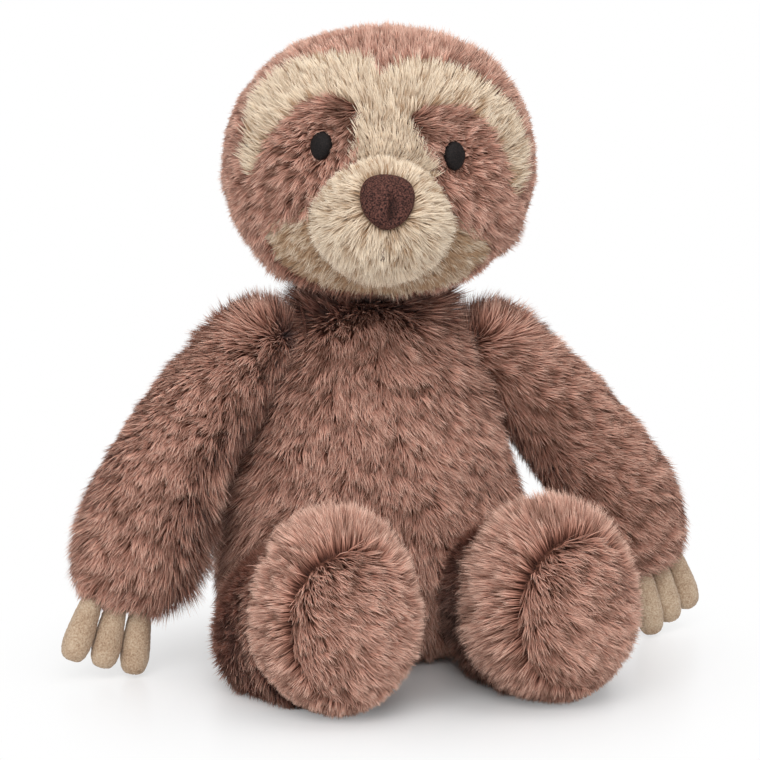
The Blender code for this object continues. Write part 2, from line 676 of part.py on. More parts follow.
def claw_form():
    return Form(CLAW_LENGTH + CLAW_ROOT, CLAW_HALF_WIDTH, CLAW_HALF_DEPTH, CLAW_END_POWER, CLAW_SHARES,
                start=CLAW_ROOT)


def build_arm(name, parts, tools):
    """Front and back panels round the stuffing, and three claws on the seam at the hand's end."""
    side = SIDES[name]
    form = Form(ARM_LENGTH + ARM_BALL / 2, ARM_HALF_WIDTH, ARM_HALF_DEPTH, ARM_END_POWER, ARM_SHARES,
                start=ARM_BALL / 2, bend=ARM_BEND[name], side=-side)
    shell, core = shell_and_core(form, tools, "arm", LIMB_SEGMENTS, LIMB_INNER_SEGMENTS, ARM_BALL)
    arm = add_empty("shoulder_" + name, shoulder_matrix(name), parts)
    across, down, angle = form.spine(ARM_LENGTH)
    hand = Matrix.Translation((float(across), 0, float(down)))
    hand = hand @ Matrix.Rotation(side * float(angle), 4, "Y")
    hand = hand @ Matrix.Translation((side * CLAW_OFFSET, 0, -CLAW_SET))
    hand = hand @ Matrix.Rotation(math.radians(-side * CLAW_ROW_TILT), 4, "Y")
    hand = hand @ Matrix.Rotation(math.radians(CLAW_FOLD[name]), 4, "X")
    claws = add_empty("hand_end_" + name, shoulder_matrix(name) @ hand, parts, arm)
    for index, claw_name in enumerate(CLAW_NAMES):
        outward = side * (index - 1)
        place = Matrix.Translation((outward * CLAW_SPACING, 0, 0))
        fan = Matrix.Rotation(math.radians(-outward * CLAW_FAN), 4, "Y")
        claw = claw_form().solid("claw_" + claw_name + "_" + name, parts, SMALL_SEGMENTS)
        claw.data.transform(place @ fan)
        finish(claw, "claw_velour", claws)
        claw_socket = socket("claw_socket", tools, CLAW_ROOT, detail=SMALL_SEGMENTS)
        claw_socket.data.transform(hand @ place)
        carve(shell, claw_socket)
        carve(core, claw_socket)
    half = GAP / 2
    front = block("front", tools, (-REACH, -REACH, -REACH), (REACH, -half, REACH))
    back = block("back", tools, (-REACH, half, -REACH), (REACH, REACH, REACH))
    finish(part_of(shell, front, "arm_front_panel_" + name, parts), "brown_pile", arm)
    finish(part_of(shell, back, "arm_back_panel_" + name, parts), "brown_pile", arm)
    finish(copy_of(core, "arm_stuffing_" + name, parts), "stuffing", arm)
    finish(shoulder_thread("shoulder_seam_thread_" + name, parts, side), "seam_thread")


def build_leg(name, parts, tools):
    """Inner and outer panels and a sole round the stuffing, cut flat where the foot rests."""
    side = SIDES[name]
    shell, core = shell_and_core(leg_form(), tools, "leg", LIMB_SEGMENTS, LIMB_INNER_SEGMENTS, LEG_BALL)
    frame = hip_matrix(name)
    floor = block("floor", tools, (-REACH, -REACH, -REACH), (REACH, REACH, 0))
    floor.data.transform(frame.inverted())
    carve(shell, floor)
    carve(core, floor)
    leg = add_empty("hip_" + name, frame, parts)
    half = GAP / 2
    sole_from = -(LEG_LENGTH - SOLE_DEPTH)
    sole = block("sole", tools, (-REACH, -REACH, -REACH), (REACH, REACH, sole_from - half))
    inner_low, inner_high = sorted((-side * half, -side * REACH))
    outer_low, outer_high = sorted((side * half, side * REACH))
    inner = block("inner", tools, (inner_low, -REACH, sole_from + half), (inner_high, REACH, REACH))
    outer = block("outer", tools, (outer_low, -REACH, sole_from + half), (outer_high, REACH, REACH))
    finish(part_of(shell, sole, "sole_panel_" + name, parts), "brown_pile", leg)
    finish(part_of(shell, inner, "leg_inner_panel_" + name, parts), "brown_pile", leg)
    finish(part_of(shell, outer, "leg_outer_panel_" + name, parts), "brown_pile", leg)
    finish(copy_of(core, "leg_stuffing_" + name, parts), "stuffing", leg)


def clear_tools(tools):
    """Remove the cutters, which the pieces no longer need."""
    for thing in list(tools.objects):
        bpy.data.objects.remove(thing, do_unlink=True)


def centre_on_origin(parts):
    """Move the toy so that the origin lies under the middle of its box."""
    bpy.context.view_layer.update()
    corners = []
    for thing in parts.objects:
        if thing.type == "MESH":
            places = np.array([thing.matrix_world @ vertex.co for vertex in thing.data.vertices])
            corners.extend((places.min(axis=0), places.max(axis=0)))
    low = np.min(corners, axis=0)
    high = np.max(corners, axis=0)
    shift = Matrix.Translation((-(low[0] + high[0]) / 2, -(low[1] + high[1]) / 2, 0))
    for thing in parts.objects:
        if thing.parent is None:
            thing.matrix_world = shift @ thing.matrix_world
    bpy.context.view_layer.update()


clear_scene()
PARTS = new_collection("plush_sloth")
TOOLS = new_collection("cutters")
MATERIALS = {name: make_finish(name) for name in FINISHES}
build_torso(PARTS, TOOLS)
build_head(PARTS, TOOLS)
for LIMB in SIDES:
    build_arm(LIMB, PARTS, TOOLS)
    build_leg(LIMB, PARTS, TOOLS)
clear_tools(TOOLS)
centre_on_origin(PARTS)
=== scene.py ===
# %% [markdown]
# # A seated plush sloth in long pile
#
# The real toy is sewn from brushed pile cloth, stuffed, and embroidered with a nose and two eyes. Its
# look is its pile: hundreds of thousands of fibres that lie in locks and change direction at each seam.
# The packed CAD model gives the frame: which panel is where, and which body each one moves with. This
# script dresses it. Each stuffed form becomes a closed skin worked out with numpy, and each panel gets
# its own piece of pile, grown from that skin as tapered blades.

# %% Load the frame and remember its box
import itertools
import json
import math

import bpy
import numpy as np
from mathutils import Matrix, Vector


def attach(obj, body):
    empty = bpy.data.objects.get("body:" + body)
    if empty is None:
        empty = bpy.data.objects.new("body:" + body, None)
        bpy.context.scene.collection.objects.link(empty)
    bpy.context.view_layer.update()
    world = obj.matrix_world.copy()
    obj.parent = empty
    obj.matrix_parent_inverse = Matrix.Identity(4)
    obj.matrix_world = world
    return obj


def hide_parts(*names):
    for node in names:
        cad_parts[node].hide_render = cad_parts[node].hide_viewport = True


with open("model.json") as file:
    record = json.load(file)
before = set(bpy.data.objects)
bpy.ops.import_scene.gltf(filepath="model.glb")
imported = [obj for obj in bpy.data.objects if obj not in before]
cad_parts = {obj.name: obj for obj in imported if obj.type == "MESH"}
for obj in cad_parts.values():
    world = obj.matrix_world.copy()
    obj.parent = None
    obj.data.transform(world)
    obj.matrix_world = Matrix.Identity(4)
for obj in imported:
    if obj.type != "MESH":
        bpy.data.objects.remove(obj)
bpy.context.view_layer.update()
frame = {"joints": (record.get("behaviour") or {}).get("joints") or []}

JOINTS = {joint["name"]: Vector(joint["pos_m"]) for joint in frame["joints"]}

# %% [markdown]
# ## The camera
#
# The photograph looks slightly down on the toy and from its right-hand side. A long lens far away keeps
# the perspective flat, as a product photograph does. The camera looks at a point in the belly, and the
# lens follows from the width that the picture shows there.

# %% Place the camera
AZIMUTH = math.radians(-14.0)
ELEVATION = math.radians(10.5)
CAMERA_DISTANCE = 2.2
CAMERA_TARGET = Vector((-0.0002, 0.0479, 0.123))
VIEW_WIDTH = 0.342
CLIP_END = 20.0


def direction(azimuth, elevation):
    """The unit vector towards a viewer who stands at an azimuth and elevation."""
    level = math.cos(elevation)
    return Vector((math.sin(azimuth) * level, -math.cos(azimuth) * level, math.sin(elevation)))


def linked(name, data):
    """A new object that carries the data, linked into the scene."""
    thing = bpy.data.objects.new(name, data)
    bpy.context.scene.collection.objects.link(thing)
    return thing


camera_data = bpy.data.cameras.new("camera")
camera = linked("camera", camera_data)
toward_camera = direction(AZIMUTH, ELEVATION)
camera.location = CAMERA_TARGET + toward_camera * CAMERA_DISTANCE
camera.rotation_euler = toward_camera.to_track_quat("Z", "Y").to_euler()
camera_data.lens = camera_data.sensor_width * CAMERA_DISTANCE / VIEW_WIDTH
camera_data.clip_end = CLIP_END
bpy.context.scene.camera = camera
bpy.context.scene.view_settings.view_transform = "Standard"
print("lens", round(camera_data.lens, 1), "mm")

# %% [markdown]
# ## Materials from nodes
#
# Every finish here is a small tree of shader nodes. A few helpers keep the trees short: one makes a node
# and links its inputs, one makes a colour ramp, and one makes the grained finish that backing cloth,
# velour and thread share. Colours are written as the eight-bit values that a screen shows, and turned
# into the linear values that the renderer works in.

# %% Helpers for node trees


def linear(red, green, blue):
    """A screen colour as linear light: each channel to the power that undoes the screen's curve."""
    shares = np.array([red, green, blue]) / 255
    curved = np.where(shares <= 0.04045, shares / 12.92, ((shares + 0.055) / 1.055) ** 2.4)
    return (*curved.tolist(), 1.0)


def new_material(name):
    """An empty material with its Principled shader and the tree that holds it."""
    material = bpy.data.materials.new(name)
    material.use_nodes = True
    tree = material.node_tree
    return material, tree, tree.nodes["Principled BSDF"]


def set_inputs(made, **links):
    """Set or link a node's inputs, by name, or by number after an underscore."""
    for key, value in links.items():
        name = key.replace("_", " ").strip()
        socket = made.inputs[int(name)] if name.isdigit() else made.inputs[name]
        if isinstance(value, bpy.types.NodeSocket):
            made.id_data.links.new(value, socket)
        else:
            socket.default_value = value


def node(tree, kind, settings=None, **links):
    """Add a node, set its properties, and set or link its inputs."""
    made = tree.nodes.new("ShaderNode" + kind)
    for key, value in (settings or {}).items():
        setattr(made, key, value)
    set_inputs(made, **links)
    return made


def ramp(tree, share, stops):
    """A colour ramp over a share, from a list of places and colours."""
    made = node(tree, "ValToRGB", Fac=share)
    elements = made.color_ramp.elements
    while len(elements) < len(stops):
        elements.new(0.5)
    for element, (place, colour) in zip(elements, stops):
        element.position = place
        element.color = colour
    return made.outputs["Color"]


MULTIPLY_COLOURS = {"data_type": "RGBA", "blend_type": "MULTIPLY"}
WEAR_NOISE = {"Scale": 110.0, "Detail": 2.0}
# The colour that the painted shade of a fold multiplies in.
PAINTED_FOLD_TINT = (0.12, 0.10, 0.10, 1)


def grained_material(name, noise, stops, bump, roughness, specular, wear=0.0, sheen=0.0, painted_folds=False):
    """A noise in Object space moves the colour through the stops and raises the bump.

    A share of a second, coarser noise may be mixed into the colour as wear. Where asked, the colour is
    darkened by painted shade in folds, read from a mesh attribute that reads as zero where a mesh has
    none.
    """
    material, tree, shader = new_material(name)
    place = node(tree, "TexCoord").outputs["Object"]
    grain = share = node(tree, "TexNoise", Vector=place, **noise).outputs["Fac"]
    if wear:
        worn = node(tree, "TexNoise", Vector=place, **WEAR_NOISE).outputs["Fac"]
        share = node(tree, "Mix", {"data_type": "FLOAT"}, Factor=wear, A=grain, B=worn).outputs[0]
    colour = ramp(tree, share, stops)
    if painted_folds:
        # Painted shade in folds, from a mesh attribute.
        painted_fold_shade = node(tree, "Attribute", {"attribute_name": "painted_fold_shade"}).outputs["Fac"]
        colour = node(tree, "Mix", MULTIPLY_COLOURS, Factor=painted_fold_shade, A=colour, B=PAINTED_FOLD_TINT)
        colour = colour.outputs["Result"]
    raised = node(tree, "Bump", Strength=bump[0], Distance=bump[1], Height=grain)
    set_inputs(shader, Base_Color=colour, Normal=raised.outputs["Normal"], Roughness=roughness,
               Specular_IOR_Level=specular, Sheen_Weight=sheen)
    return material


print("screen mid grey is", round(linear(128, 128, 128)[0], 3), "in linear light")

# %% [markdown]
# ## The floor, the backdrop and the light
#
# The toy sits on a white, slightly glossy table that fades into a white background. One plane does it:
# near the toy it is lit like any surface, so it holds the shadow and a soft reflection, and further out
# it fades to plain white for the camera. The world is white where it is seen and a softer fill light
# elsewhere. Two big area lamps give the large, soft studio light from above.

# %% Build the floor, world and lamps
FLOOR_HALF = 4.0
FLOOR_NEAR, FLOOR_FAR = 0.03, 0.21
FLOOR_COLOUR = (0.93, 0.93, 0.93, 1)
FLOOR_ROUGHNESS = 0.32
FILL_STRENGTH = 0.62


def seen_share(tree):
    """One where a ray comes from the camera, a reflection or glass, and zero where it brings light."""
    path = node(tree, "LightPath").outputs
    larger = {"operation": "MAXIMUM"}
    shiny = node(tree, "Math", larger, _0=path["Is Glossy Ray"], _1=path["Is Transmission Ray"])
    return node(tree, "Math", larger, _0=path["Is Camera Ray"], _1=shiny.outputs[0]).outputs[0]


def make_floor():
    """A square plane whose material fades from lit white to plain white with the distance."""
    corners = [(x * FLOOR_HALF, y * FLOOR_HALF, 0) for x, y in ((-1, -1), (1, -1), (1, 1), (-1, 1))]
    mesh = bpy.data.meshes.new("floor")
    mesh.from_pydata(corners, [], [(0, 1, 2, 3)])
    floor = linked("floor", mesh)
    material, tree, shader = new_material("floor_white")
    set_inputs(shader, Base_Color=FLOOR_COLOUR, Roughness=FLOOR_ROUGHNESS)
    away = node(tree, "VectorMath", {"operation": "LENGTH"}, _0=node(tree, "TexCoord").outputs["Object"])
    fade = node(tree, "MapRange", {"interpolation_type": "SMOOTHSTEP"}, Value=away.outputs["Value"],
                From_Min=FLOOR_NEAR, From_Max=FLOOR_FAR)
    share = node(tree, "Math", {"operation": "MULTIPLY"}, _0=fade.outputs["Result"], _1=seen_share(tree))
    white = node(tree, "Emission", Color=(1, 1, 1, 1), Strength=1.0)
    blend = node(tree, "MixShader", Fac=share.outputs[0], _1=shader.outputs[0], _2=white.outputs[0])
    set_inputs(tree.nodes["Material Output"], Surface=blend.outputs[0])
    mesh.materials.append(material)


def make_world():
    """White for the camera and reflections, a softer fill light for everything else."""
    world = bpy.data.worlds.new("studio")
    bpy.context.scene.world = world
    world.use_nodes = True
    tree = world.node_tree
    strength = node(tree, "MapRange", Value=seen_share(tree), To_Min=FILL_STRENGTH, To_Max=1.0)
    set_inputs(tree.nodes["Background"], Color=(1, 1, 1, 1), Strength=strength.outputs["Result"])


def make_lamp(name, azimuth, elevation, distance, size, level):
    """A square area lamp that lights a surface facing it to a level of its own colour."""
    data = bpy.data.lights.new(name, "AREA")
    data.size = size
    data.energy = level * math.pi**2 * distance**2
    lamp = linked(name, data)
    back = direction(math.radians(azimuth), math.radians(elevation))
    lamp.location = CAMERA_TARGET + back * distance
    lamp.rotation_euler = back.to_track_quat("Z", "Y").to_euler()


make_floor()
make_world()
make_lamp("key_lamp", -22, 36, 2.0, 1.3, 0.56)
make_lamp("top_lamp", 50, 70, 1.8, 1.2, 0.24)

# %% [markdown]
# ## Stuffed forms as formulas
#
# A stuffed limb or body swells and tapers along a spine. One formula covers them all: a ball is stretched
# along the spine, and a table of shares says how wide and deep it is at each place. The tables and the
# sizes in metres are those of the CAD source, so the skins lie just under the CAD surface.

# %% A stuffed form


def held(values):
    """Values held between 0 and 1."""
    return np.clip(values, 0, 1)


def flow(table, column, share):
    """One column of a table of shares as a smooth curve: a cubic with matching slopes between rows."""
    rows = np.array(table)
    places, values = rows[:, 0], rows[:, column]
    slopes = np.gradient(values, places)
    span = np.clip(np.searchsorted(places, share, side="right") - 1, 0, len(places) - 2)
    width = places[span + 1] - places[span]
    t = held((share - places[span]) / width)
    start = values[span] * (2 * t**3 - 3 * t**2 + 1) + slopes[span] * width * (t**3 - 2 * t**2 + t)
    end = values[span + 1] * (3 * t**2 - 2 * t**3) + slopes[span + 1] * width * (t**3 - t**2)
    return start + end


class Form:
    """A ball stretched along a spine that may bend, with a swelling width and depth."""

    def __init__(self, length, width, depth, power, table, start=0.0, bend=0.0, side=1, lean=0.0):
        self.length, self.width, self.depth = length, width, depth
        self.power, self.table, self.start = power, table, start
        self.bend, self.side, self.lean = math.radians(bend), side, lean

    def spine(self, along):
        """Where the spine is, and how far it has turned, at a distance from the joint: a circle's arc."""
        angle = np.clip(along, 0, None) / (self.length - self.start) * self.bend
        if self.bend == 0:
            return along * 0, -along, angle
        radius = (self.length - self.start) / self.bend
        down = np.where(along > 0, -radius * np.sin(angle), -along)
        return self.side * radius * (1 - np.cos(angle)), down, angle

    def points(self, turn, along, inset):
        """The surface: along runs from 1 at the joint to -1 at the tip, and turn goes round the spine.

        The radius is the table's width or depth, less the inset, times the rounding of the ball.
        """
        share = inset / self.length + (1 - along) / 2 * (1 - 2 * inset / self.length)
        rounding = held(1 - np.abs(along) ** self.power) ** (1 / self.power)
        wide = np.cos(turn) * rounding * (self.width * flow(self.table, 1, share) - inset)
        deep = np.sin(turn) * rounding * (self.depth * flow(self.table, 2, share) - inset)
        across, down, angle = self.spine(share * self.length - self.start)
        shift = self.lean * flow(self.table, 3, 1 - share) if self.lean else 0
        return np.stack([across + wide * np.cos(angle), deep - shift,
                         down + self.side * wide * np.sin(angle)], axis=-1)


def ball_grid(columns, rows):
    """Two grids of parameters over a ball: the turn round it, and the place along it from 1 to -1.

    The place is a cosine, drawn towards the poles by a cubic so that the ends are as round as the rest.
    """
    turn = np.linspace(0, 2 * math.pi, columns, endpoint=False)
    along = np.cos(np.linspace(0, math.pi, rows))
    return np.meshgrid(turn, along * (1.5 - 0.5 * along**2))


def ball_points(columns, rows):
    """A ball of radius one: the sides and heights of its rings, and the place along its axis."""
    turn, along = ball_grid(columns, rows)
    ring = np.sqrt(held(1 - along**2))
    return ring * np.cos(turn), along, ring * np.sin(turn)


def place_points(matrix, points):
    """Points moved by a four-by-four matrix."""
    turn = np.array(matrix.to_3x3())
    return points @ turn.T + np.array(matrix.translation)


print("a form is", Form.points.__doc__.split(":")[0].lower())

# %% [markdown]
# ## The forms of this toy
#
# Each form hangs down its own -Z from its joint, and a matrix sets it in place: the head on the neck, the
# arms lifted and swung at the shoulders, and the legs pitched forward at the hips.

# %% Sizes, forms and their places
SIDES = {"left": -1, "right": 1}
FLAT_DEPTH = 0.0005
SKIN_INSET = 0.003
NECK_PLACE = Vector((-0.001, -0.006, 0.1845))
TORSO_HEIGHT = 0.1665
TORSO_SHARES = [(0.0, 1.12, 0.98, 0.0), (0.12, 1.08, 0.98, 0.05), (0.24, 1.01, 1.0, 0.1),
                (0.42, 0.92, 0.95, 0.3), (0.6, 0.80, 0.86, 0.6), (0.76, 0.69, 0.76, 0.9),
                (0.87, 0.63, 0.68, 1.0), (1.0, 0.58, 0.62, 1.0)]
TORSO_UPSIDE_SHARES = [(1 - row[0], *row[1:]) for row in reversed(TORSO_SHARES)]
TORSO_LEAN = 0.006
SEAT_SEAM_HEIGHT = 0.020
TORSO_SIDE_SEAM = 0.0044
HEAD_HALF = np.array([0.069, 0.057, 0.058])
HEAD_RISE = 0.038
HEAD_TURN, HEAD_TILT = -11.0, 4.8
MUZZLE_HALF = np.array([0.0305, 0.032, 0.029])
MUZZLE_MIDDLE = np.array([0, -0.044, HEAD_RISE - 0.0155])
ARM_LENGTH, ARM_BALL = 0.1385, 0.0195
ARM_SHARES = [(0.0, 0.77, 0.80), (0.15, 0.80, 0.82), (0.35, 0.90, 0.91), (0.6, 1.0, 0.99),
              (0.8, 1.11, 0.94), (1.0, 1.20, 0.68)]
ARM_LIFT = {"left": 52.5, "right": 52.5}
ARM_SWING = {"left": 15.0, "right": -20.0}
ARM_ROLL = {"left": -10.0, "right": 50.0}
ARM_BEND = {"left": 42.0, "right": 41.0}
LEG_LENGTH, LEG_BALL = 0.106, 0.0295
LEG_SHARES = [(0.0, 0.79, 0.63), (0.16, 0.79, 0.64), (0.34, 0.83, 0.72), (0.55, 0.91, 0.90),
              (0.75, 1.02, 1.04), (1.0, 1.02, 1.04)]
LEG_PITCH = 5.0
LEG_SPLAY = {"left": 0.0, "right": 8.2}
SOLE_DEPTH = 0.012

SEAT_CENTRE = JOINTS["neck_turn"] - NECK_PLACE


def turned(angle, axis):
    """A turn about an axis of the frame, by degrees."""
    return Matrix.Rotation(math.radians(angle), 4, axis)


TORSO_FORM = Form(TORSO_HEIGHT + FLAT_DEPTH, 0.072, 0.052, 3.6, TORSO_UPSIDE_SHARES,
                  start=TORSO_HEIGHT, lean=TORSO_LEAN)
HEAD_FORM = Form(2 * HEAD_HALF[2], HEAD_HALF[0], HEAD_HALF[1], 2.15, [(0, 1, 1), (1, 1, 1)],
                 start=HEAD_RISE + HEAD_HALF[2])
ARM_FORMS = {name: Form(ARM_LENGTH + ARM_BALL / 2, 0.0252, 0.0240, 3.6, ARM_SHARES,
                        start=ARM_BALL / 2, bend=ARM_BEND[name], side=-side)
             for name, side in SIDES.items()}
LEG_FORM = Form(LEG_LENGTH + LEG_BALL / 2, 0.0342, 0.0424, 2.9, LEG_SHARES, start=LEG_BALL / 2)
TORSO_MATRIX = Matrix.Translation(SEAT_CENTRE)
HEAD_MATRIX = Matrix.Translation(JOINTS["neck_turn"]) @ turned(HEAD_TURN, "Z") @ turned(HEAD_TILT, "Y")
ARM_MATRICES = {name: Matrix.Translation(JOINTS["shoulder_swing_" + name]) @ turned(-ARM_SWING[name], "X")
                @ turned(-side * ARM_LIFT[name], "Y") @ turned(side * ARM_ROLL[name], "Z")
                for name, side in SIDES.items()}
LEG_MATRICES = {name: Matrix.Translation(JOINTS["hip_swing_" + name])
                @ turned(side * LEG_SPLAY[name], "Z") @ turned(-90 - LEG_PITCH, "X")
                for name, side in SIDES.items()}
print("seat centre", [round(value, 4) for value in SEAT_CENTRE])

# %% [markdown]
# ## Meshes from arrays
#
# Blender can build a mesh face by face, but a coat of pile has over a million faces, and then only whole
# arrays are fast enough. One helper takes the points and the faces as arrays and fills the mesh at once.
# A closed shape's signed volume says whether its faces point outwards, so the helper can turn them.

# %% Make meshes from arrays
FLOOR_CLEARANCE = 0.0002


def mesh_from(name, vertices, *face_arrays, closed=True):
    """A mesh from points and arrays of faces. Signed volume: the sum of a . (b x c) over triangles."""
    if closed:
        fans = [np.stack([faces[:, 0], faces[:, k], faces[:, k + 1]], axis=1)
                for faces in face_arrays for k in range(1, faces.shape[1] - 1)]
        a, b, c = np.moveaxis(vertices[np.concatenate(fans)], 1, 0)
        if np.einsum("ij,ij->", a, np.cross(b, c)) < 0:
            face_arrays = [faces[:, ::-1] for faces in face_arrays]
    mesh = bpy.data.meshes.new(name)
    mesh.vertices.add(len(vertices))
    mesh.vertices.foreach_set("co", vertices.astype(np.float32).ravel())
    corners = np.concatenate([faces.ravel() for faces in face_arrays])
    sizes = np.concatenate([np.full(len(faces), faces.shape[1]) for faces in face_arrays])
    mesh.loops.add(len(corners))
    mesh.loops.foreach_set("vertex_index", corners.astype(np.int32))
    mesh.polygons.add(len(sizes))
    starts = np.cumsum(sizes) - sizes
    mesh.polygons.foreach_set("loop_start", starts.astype(np.int32))
    mesh.update(calc_edges=True)
    return mesh


def closed_grid(points):
    """Points and faces of a closed surface: rings of points, with the first and last row as poles."""
    rows, columns = points.shape[:2]
    inner = rows - 2
    ring = 1 + np.arange(inner - 1)[:, None] * columns + np.arange(columns)[None, :]
    beside = np.roll(ring, -1, axis=1)
    quads = np.stack([ring, ring + columns, beside + columns, beside], axis=-1).reshape(-1, 4)
    first = 1 + np.arange(columns)
    last = first + (inner - 1) * columns
    pole = 1 + inner * columns
    caps = np.concatenate([np.stack([first * 0, first, np.roll(first, -1)], axis=-1),
                           np.stack([last * 0 + pole, np.roll(last, -1), last], axis=-1)])
    vertices = np.concatenate([points[0].mean(axis=0)[None], points[1:-1].reshape(-1, 3),
                               points[-1].mean(axis=0)[None]])
    return vertices, quads, caps


def new_piece(name, mesh, body, slot, material, *nodes):
    """A smooth piece at the origin, on its body, that stands for CAD nodes; the slot is not used."""
    thing = linked(name, mesh)
    mesh.materials.append(material)
    mesh.shade_smooth()
    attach(thing, body)
    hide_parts(*nodes)
    return thing


def closed_piece(name, points, *rest):
    """A piece whose mesh is a closed surface over rings of points."""
    return new_piece(name, mesh_from(name, *closed_grid(points)), *rest)


def rest_on_floor(points):
    """Points kept just above the floor, as cloth is where it is pressed flat."""
    resting = points.copy()
    resting[..., 2] = np.maximum(resting[..., 2], FLOOR_CLEARANCE)
    return resting


print("meshes are filled from whole arrays")

# %% [markdown]
# ## Closed skins under the pile
#
# Under the pile lies the stuffed body. Its skin is a grid of rings over the form's formula, closed by a
# fan at each pole, and pressed flat where it rests on the floor. The thighs sag outwards and down, as
# loosely filled cloth does. The skin's colour is that of shaded roots, because that is all that shows
# between the locks of real pile.

# %% Skins for the head, muzzle, torso, arms and legs
SKIN_GRID, MUZZLE_GRID = (96, 64), (64, 40)
THIGH_SAG, THIGH_BEHIND, THIGH_REACH = 0.018, 0.022, 0.03
THIGH_OUTER = 0.02
BACKING_NOISE = {"Scale": 900.0, "Detail": 3.0}


def backing_material(name, deep, light):
    """Short matted fibres between two shades, as dark as the painted shade of roots between locks."""
    return grained_material(name, BACKING_NOISE, [(0.3, deep), (0.75, light)], (0.5, 0.0004), 0.95, 0.1)


BROWN_BACKING = backing_material("brown_backing", linear(78, 48, 38), linear(118, 78, 64))
CREAM_BACKING = backing_material("cream_backing", linear(158, 132, 104), linear(198, 174, 144))


def form_grid(form, matrix):
    """The points of a placed form's surface as rings, held above the floor."""
    return rest_on_floor(place_points(matrix, form.points(*ball_grid(*SKIN_GRID), SKIN_INSET)))


def muzzle_grid():
    """The points of the muzzle's ellipsoid as rings round its front-to-back axis."""
    x, along, z = ball_points(*MUZZLE_GRID)
    ball = np.stack([x, -along, z], axis=-1)
    return place_points(HEAD_MATRIX, ball * (MUZZLE_HALF - SKIN_INSET) + MUZZLE_MIDDLE)


SKINS = {
    "head": form_grid(HEAD_FORM, HEAD_MATRIX),
    "muzzle": muzzle_grid(),
    "torso": form_grid(TORSO_FORM, TORSO_MATRIX),
}
for limb, side in SIDES.items():
    SKINS["arm_" + limb] = form_grid(ARM_FORMS[limb], ARM_MATRICES[limb])
    leg = form_grid(LEG_FORM, LEG_MATRICES[limb])
    hip = JOINTS["hip_swing_" + limb]
    near_hip = np.exp(-(((leg[..., 1] - hip[1] + THIGH_BEHIND) / THIGH_REACH) ** 2))
    outer = held((leg[..., 0] - hip[0]) * side / THIGH_OUTER)
    leg[..., 0] += side * THIGH_SAG * near_hip * outer * held(1.4 - leg[..., 2] / 0.045)
    leg[..., 2] -= THIGH_SAG * near_hip * held(1.2 - leg[..., 2] / 0.03)
    SKINS["leg_" + limb] = rest_on_floor(leg)
STUFFING = {"head": ["head_stuffing"], "muzzle": ["muzzle_stuffing"],
            "torso": ["torso_stuffing", "seat_bean_bag"]}
for name, points in SKINS.items():
    body = "head" if name == "muzzle" else name
    backing = CREAM_BACKING if name == "muzzle" else BROWN_BACKING
    part, _, limb = name.partition("_")
    nodes = STUFFING.get(name, [part + "_stuffing_" + limb])
    closed_piece(name + "_skin", points, body, "stuffing", backing, *nodes)
print("skins:", ", ".join(SKINS))

# %% [markdown]
# ## Pile as blades
#
# Brushed pile is a forest of fine fibres that lean one way and gather into pointed locks. Particle hair
# isn't kept in an exported mesh, so each small bundle of fibres is a blade here: a narrow strip and a
# tip that bends over in the direction of the nap. Roots are spread evenly over the skin by area. All
# blades of a panel are worked out at once, as arrays with one row per blade.

# %% Repeatable noise and locks


def hashed(cells, salt):
    """Repeatable random shares from whole-number cells: their bits are mixed by odd multipliers."""
    value = cells[..., 0] * 73856093 ^ cells[..., 1] * 19349663 ^ cells[..., 2] * 83492791
    value = (value + salt * 2654435761) & 0xFFFFFFFF
    value = ((value ^ (value >> 15)) * 2246822519) & 0xFFFFFFFF
    value = ((value ^ (value >> 13)) * 3266489917) & 0xFFFFFFFF
    return (value ^ (value >> 16)) / 0xFFFFFFFF


def soft_noise(points, size, salt):
    """Smooth random shares in space: hashed values on a grid of cubes, blended by a smooth step."""
    cell = np.floor(points / size).astype(np.int64)
    inside = points / size - cell
    inside = inside * inside * (3 - 2 * inside)
    total = np.zeros(len(points))
    for corner in itertools.product((0, 1), repeat=3):
        weight = np.prod(np.where(corner, inside, 1 - inside), axis=1)
        total += weight * hashed(cell + np.array(corner), salt)
    return total


def lock_of(points, size, salt):
    """The middle and a random share of each root's lock: the nearest of one jittered point per cube."""
    cell = np.floor(points / size).astype(np.int64)
    nearest = np.full(len(points), np.inf)
    middle = points.copy()
    share = np.zeros(len(points))
    for step in itertools.product((-1, 0, 1), repeat=3):
        cube = cell + np.array(step)
        jitter = np.stack([hashed(cube, salt + axis) for axis in (1, 2, 3)], axis=1)
        place = (cube + jitter) * size
        distance = ((points - place) ** 2).sum(axis=1)
        closer = distance < nearest
        nearest[closer] = distance[closer]
        middle[closer] = place[closer]
        share[closer] = jitter[closer, 0]
    return middle, share


print("a lock's share is repeatable:", round(float(hashed(np.array([[1, 2, 3]]), 0)[0]), 3))

# %% Scatter roots over a skin


def unit(vectors):
    """Vectors made one long."""
    return vectors / np.maximum(np.linalg.norm(vectors, axis=-1, keepdims=True), 1e-12)


def along_skin(vectors, normals):
    """Vectors laid on the skin: the part along the normal is taken out, and the rest has length one."""
    return unit(vectors - (vectors * normals).sum(axis=1, keepdims=True) * normals)


def turned_about(vectors, axes, angles):
    """Vectors turned about axes at right angles to them: cosine of one plus sine of their cross."""
    return vectors * np.cos(angles)[:, None] + np.cross(axes, vectors) * np.sin(angles)[:, None]


def grid_normals(points):
    """Outward unit normals over rings of points, from the cross of the steps round and along them."""
    around = np.roll(points, -1, axis=1) - np.roll(points, 1, axis=1)
    normals = np.cross(around, np.gradient(points, axis=0))
    normals[0], normals[-1] = normals[1].mean(axis=0), normals[-2].mean(axis=0)
    normals = unit(normals)
    outward = (normals * (points - points.mean(axis=(0, 1)))).sum() > 0
    return normals if outward else -normals


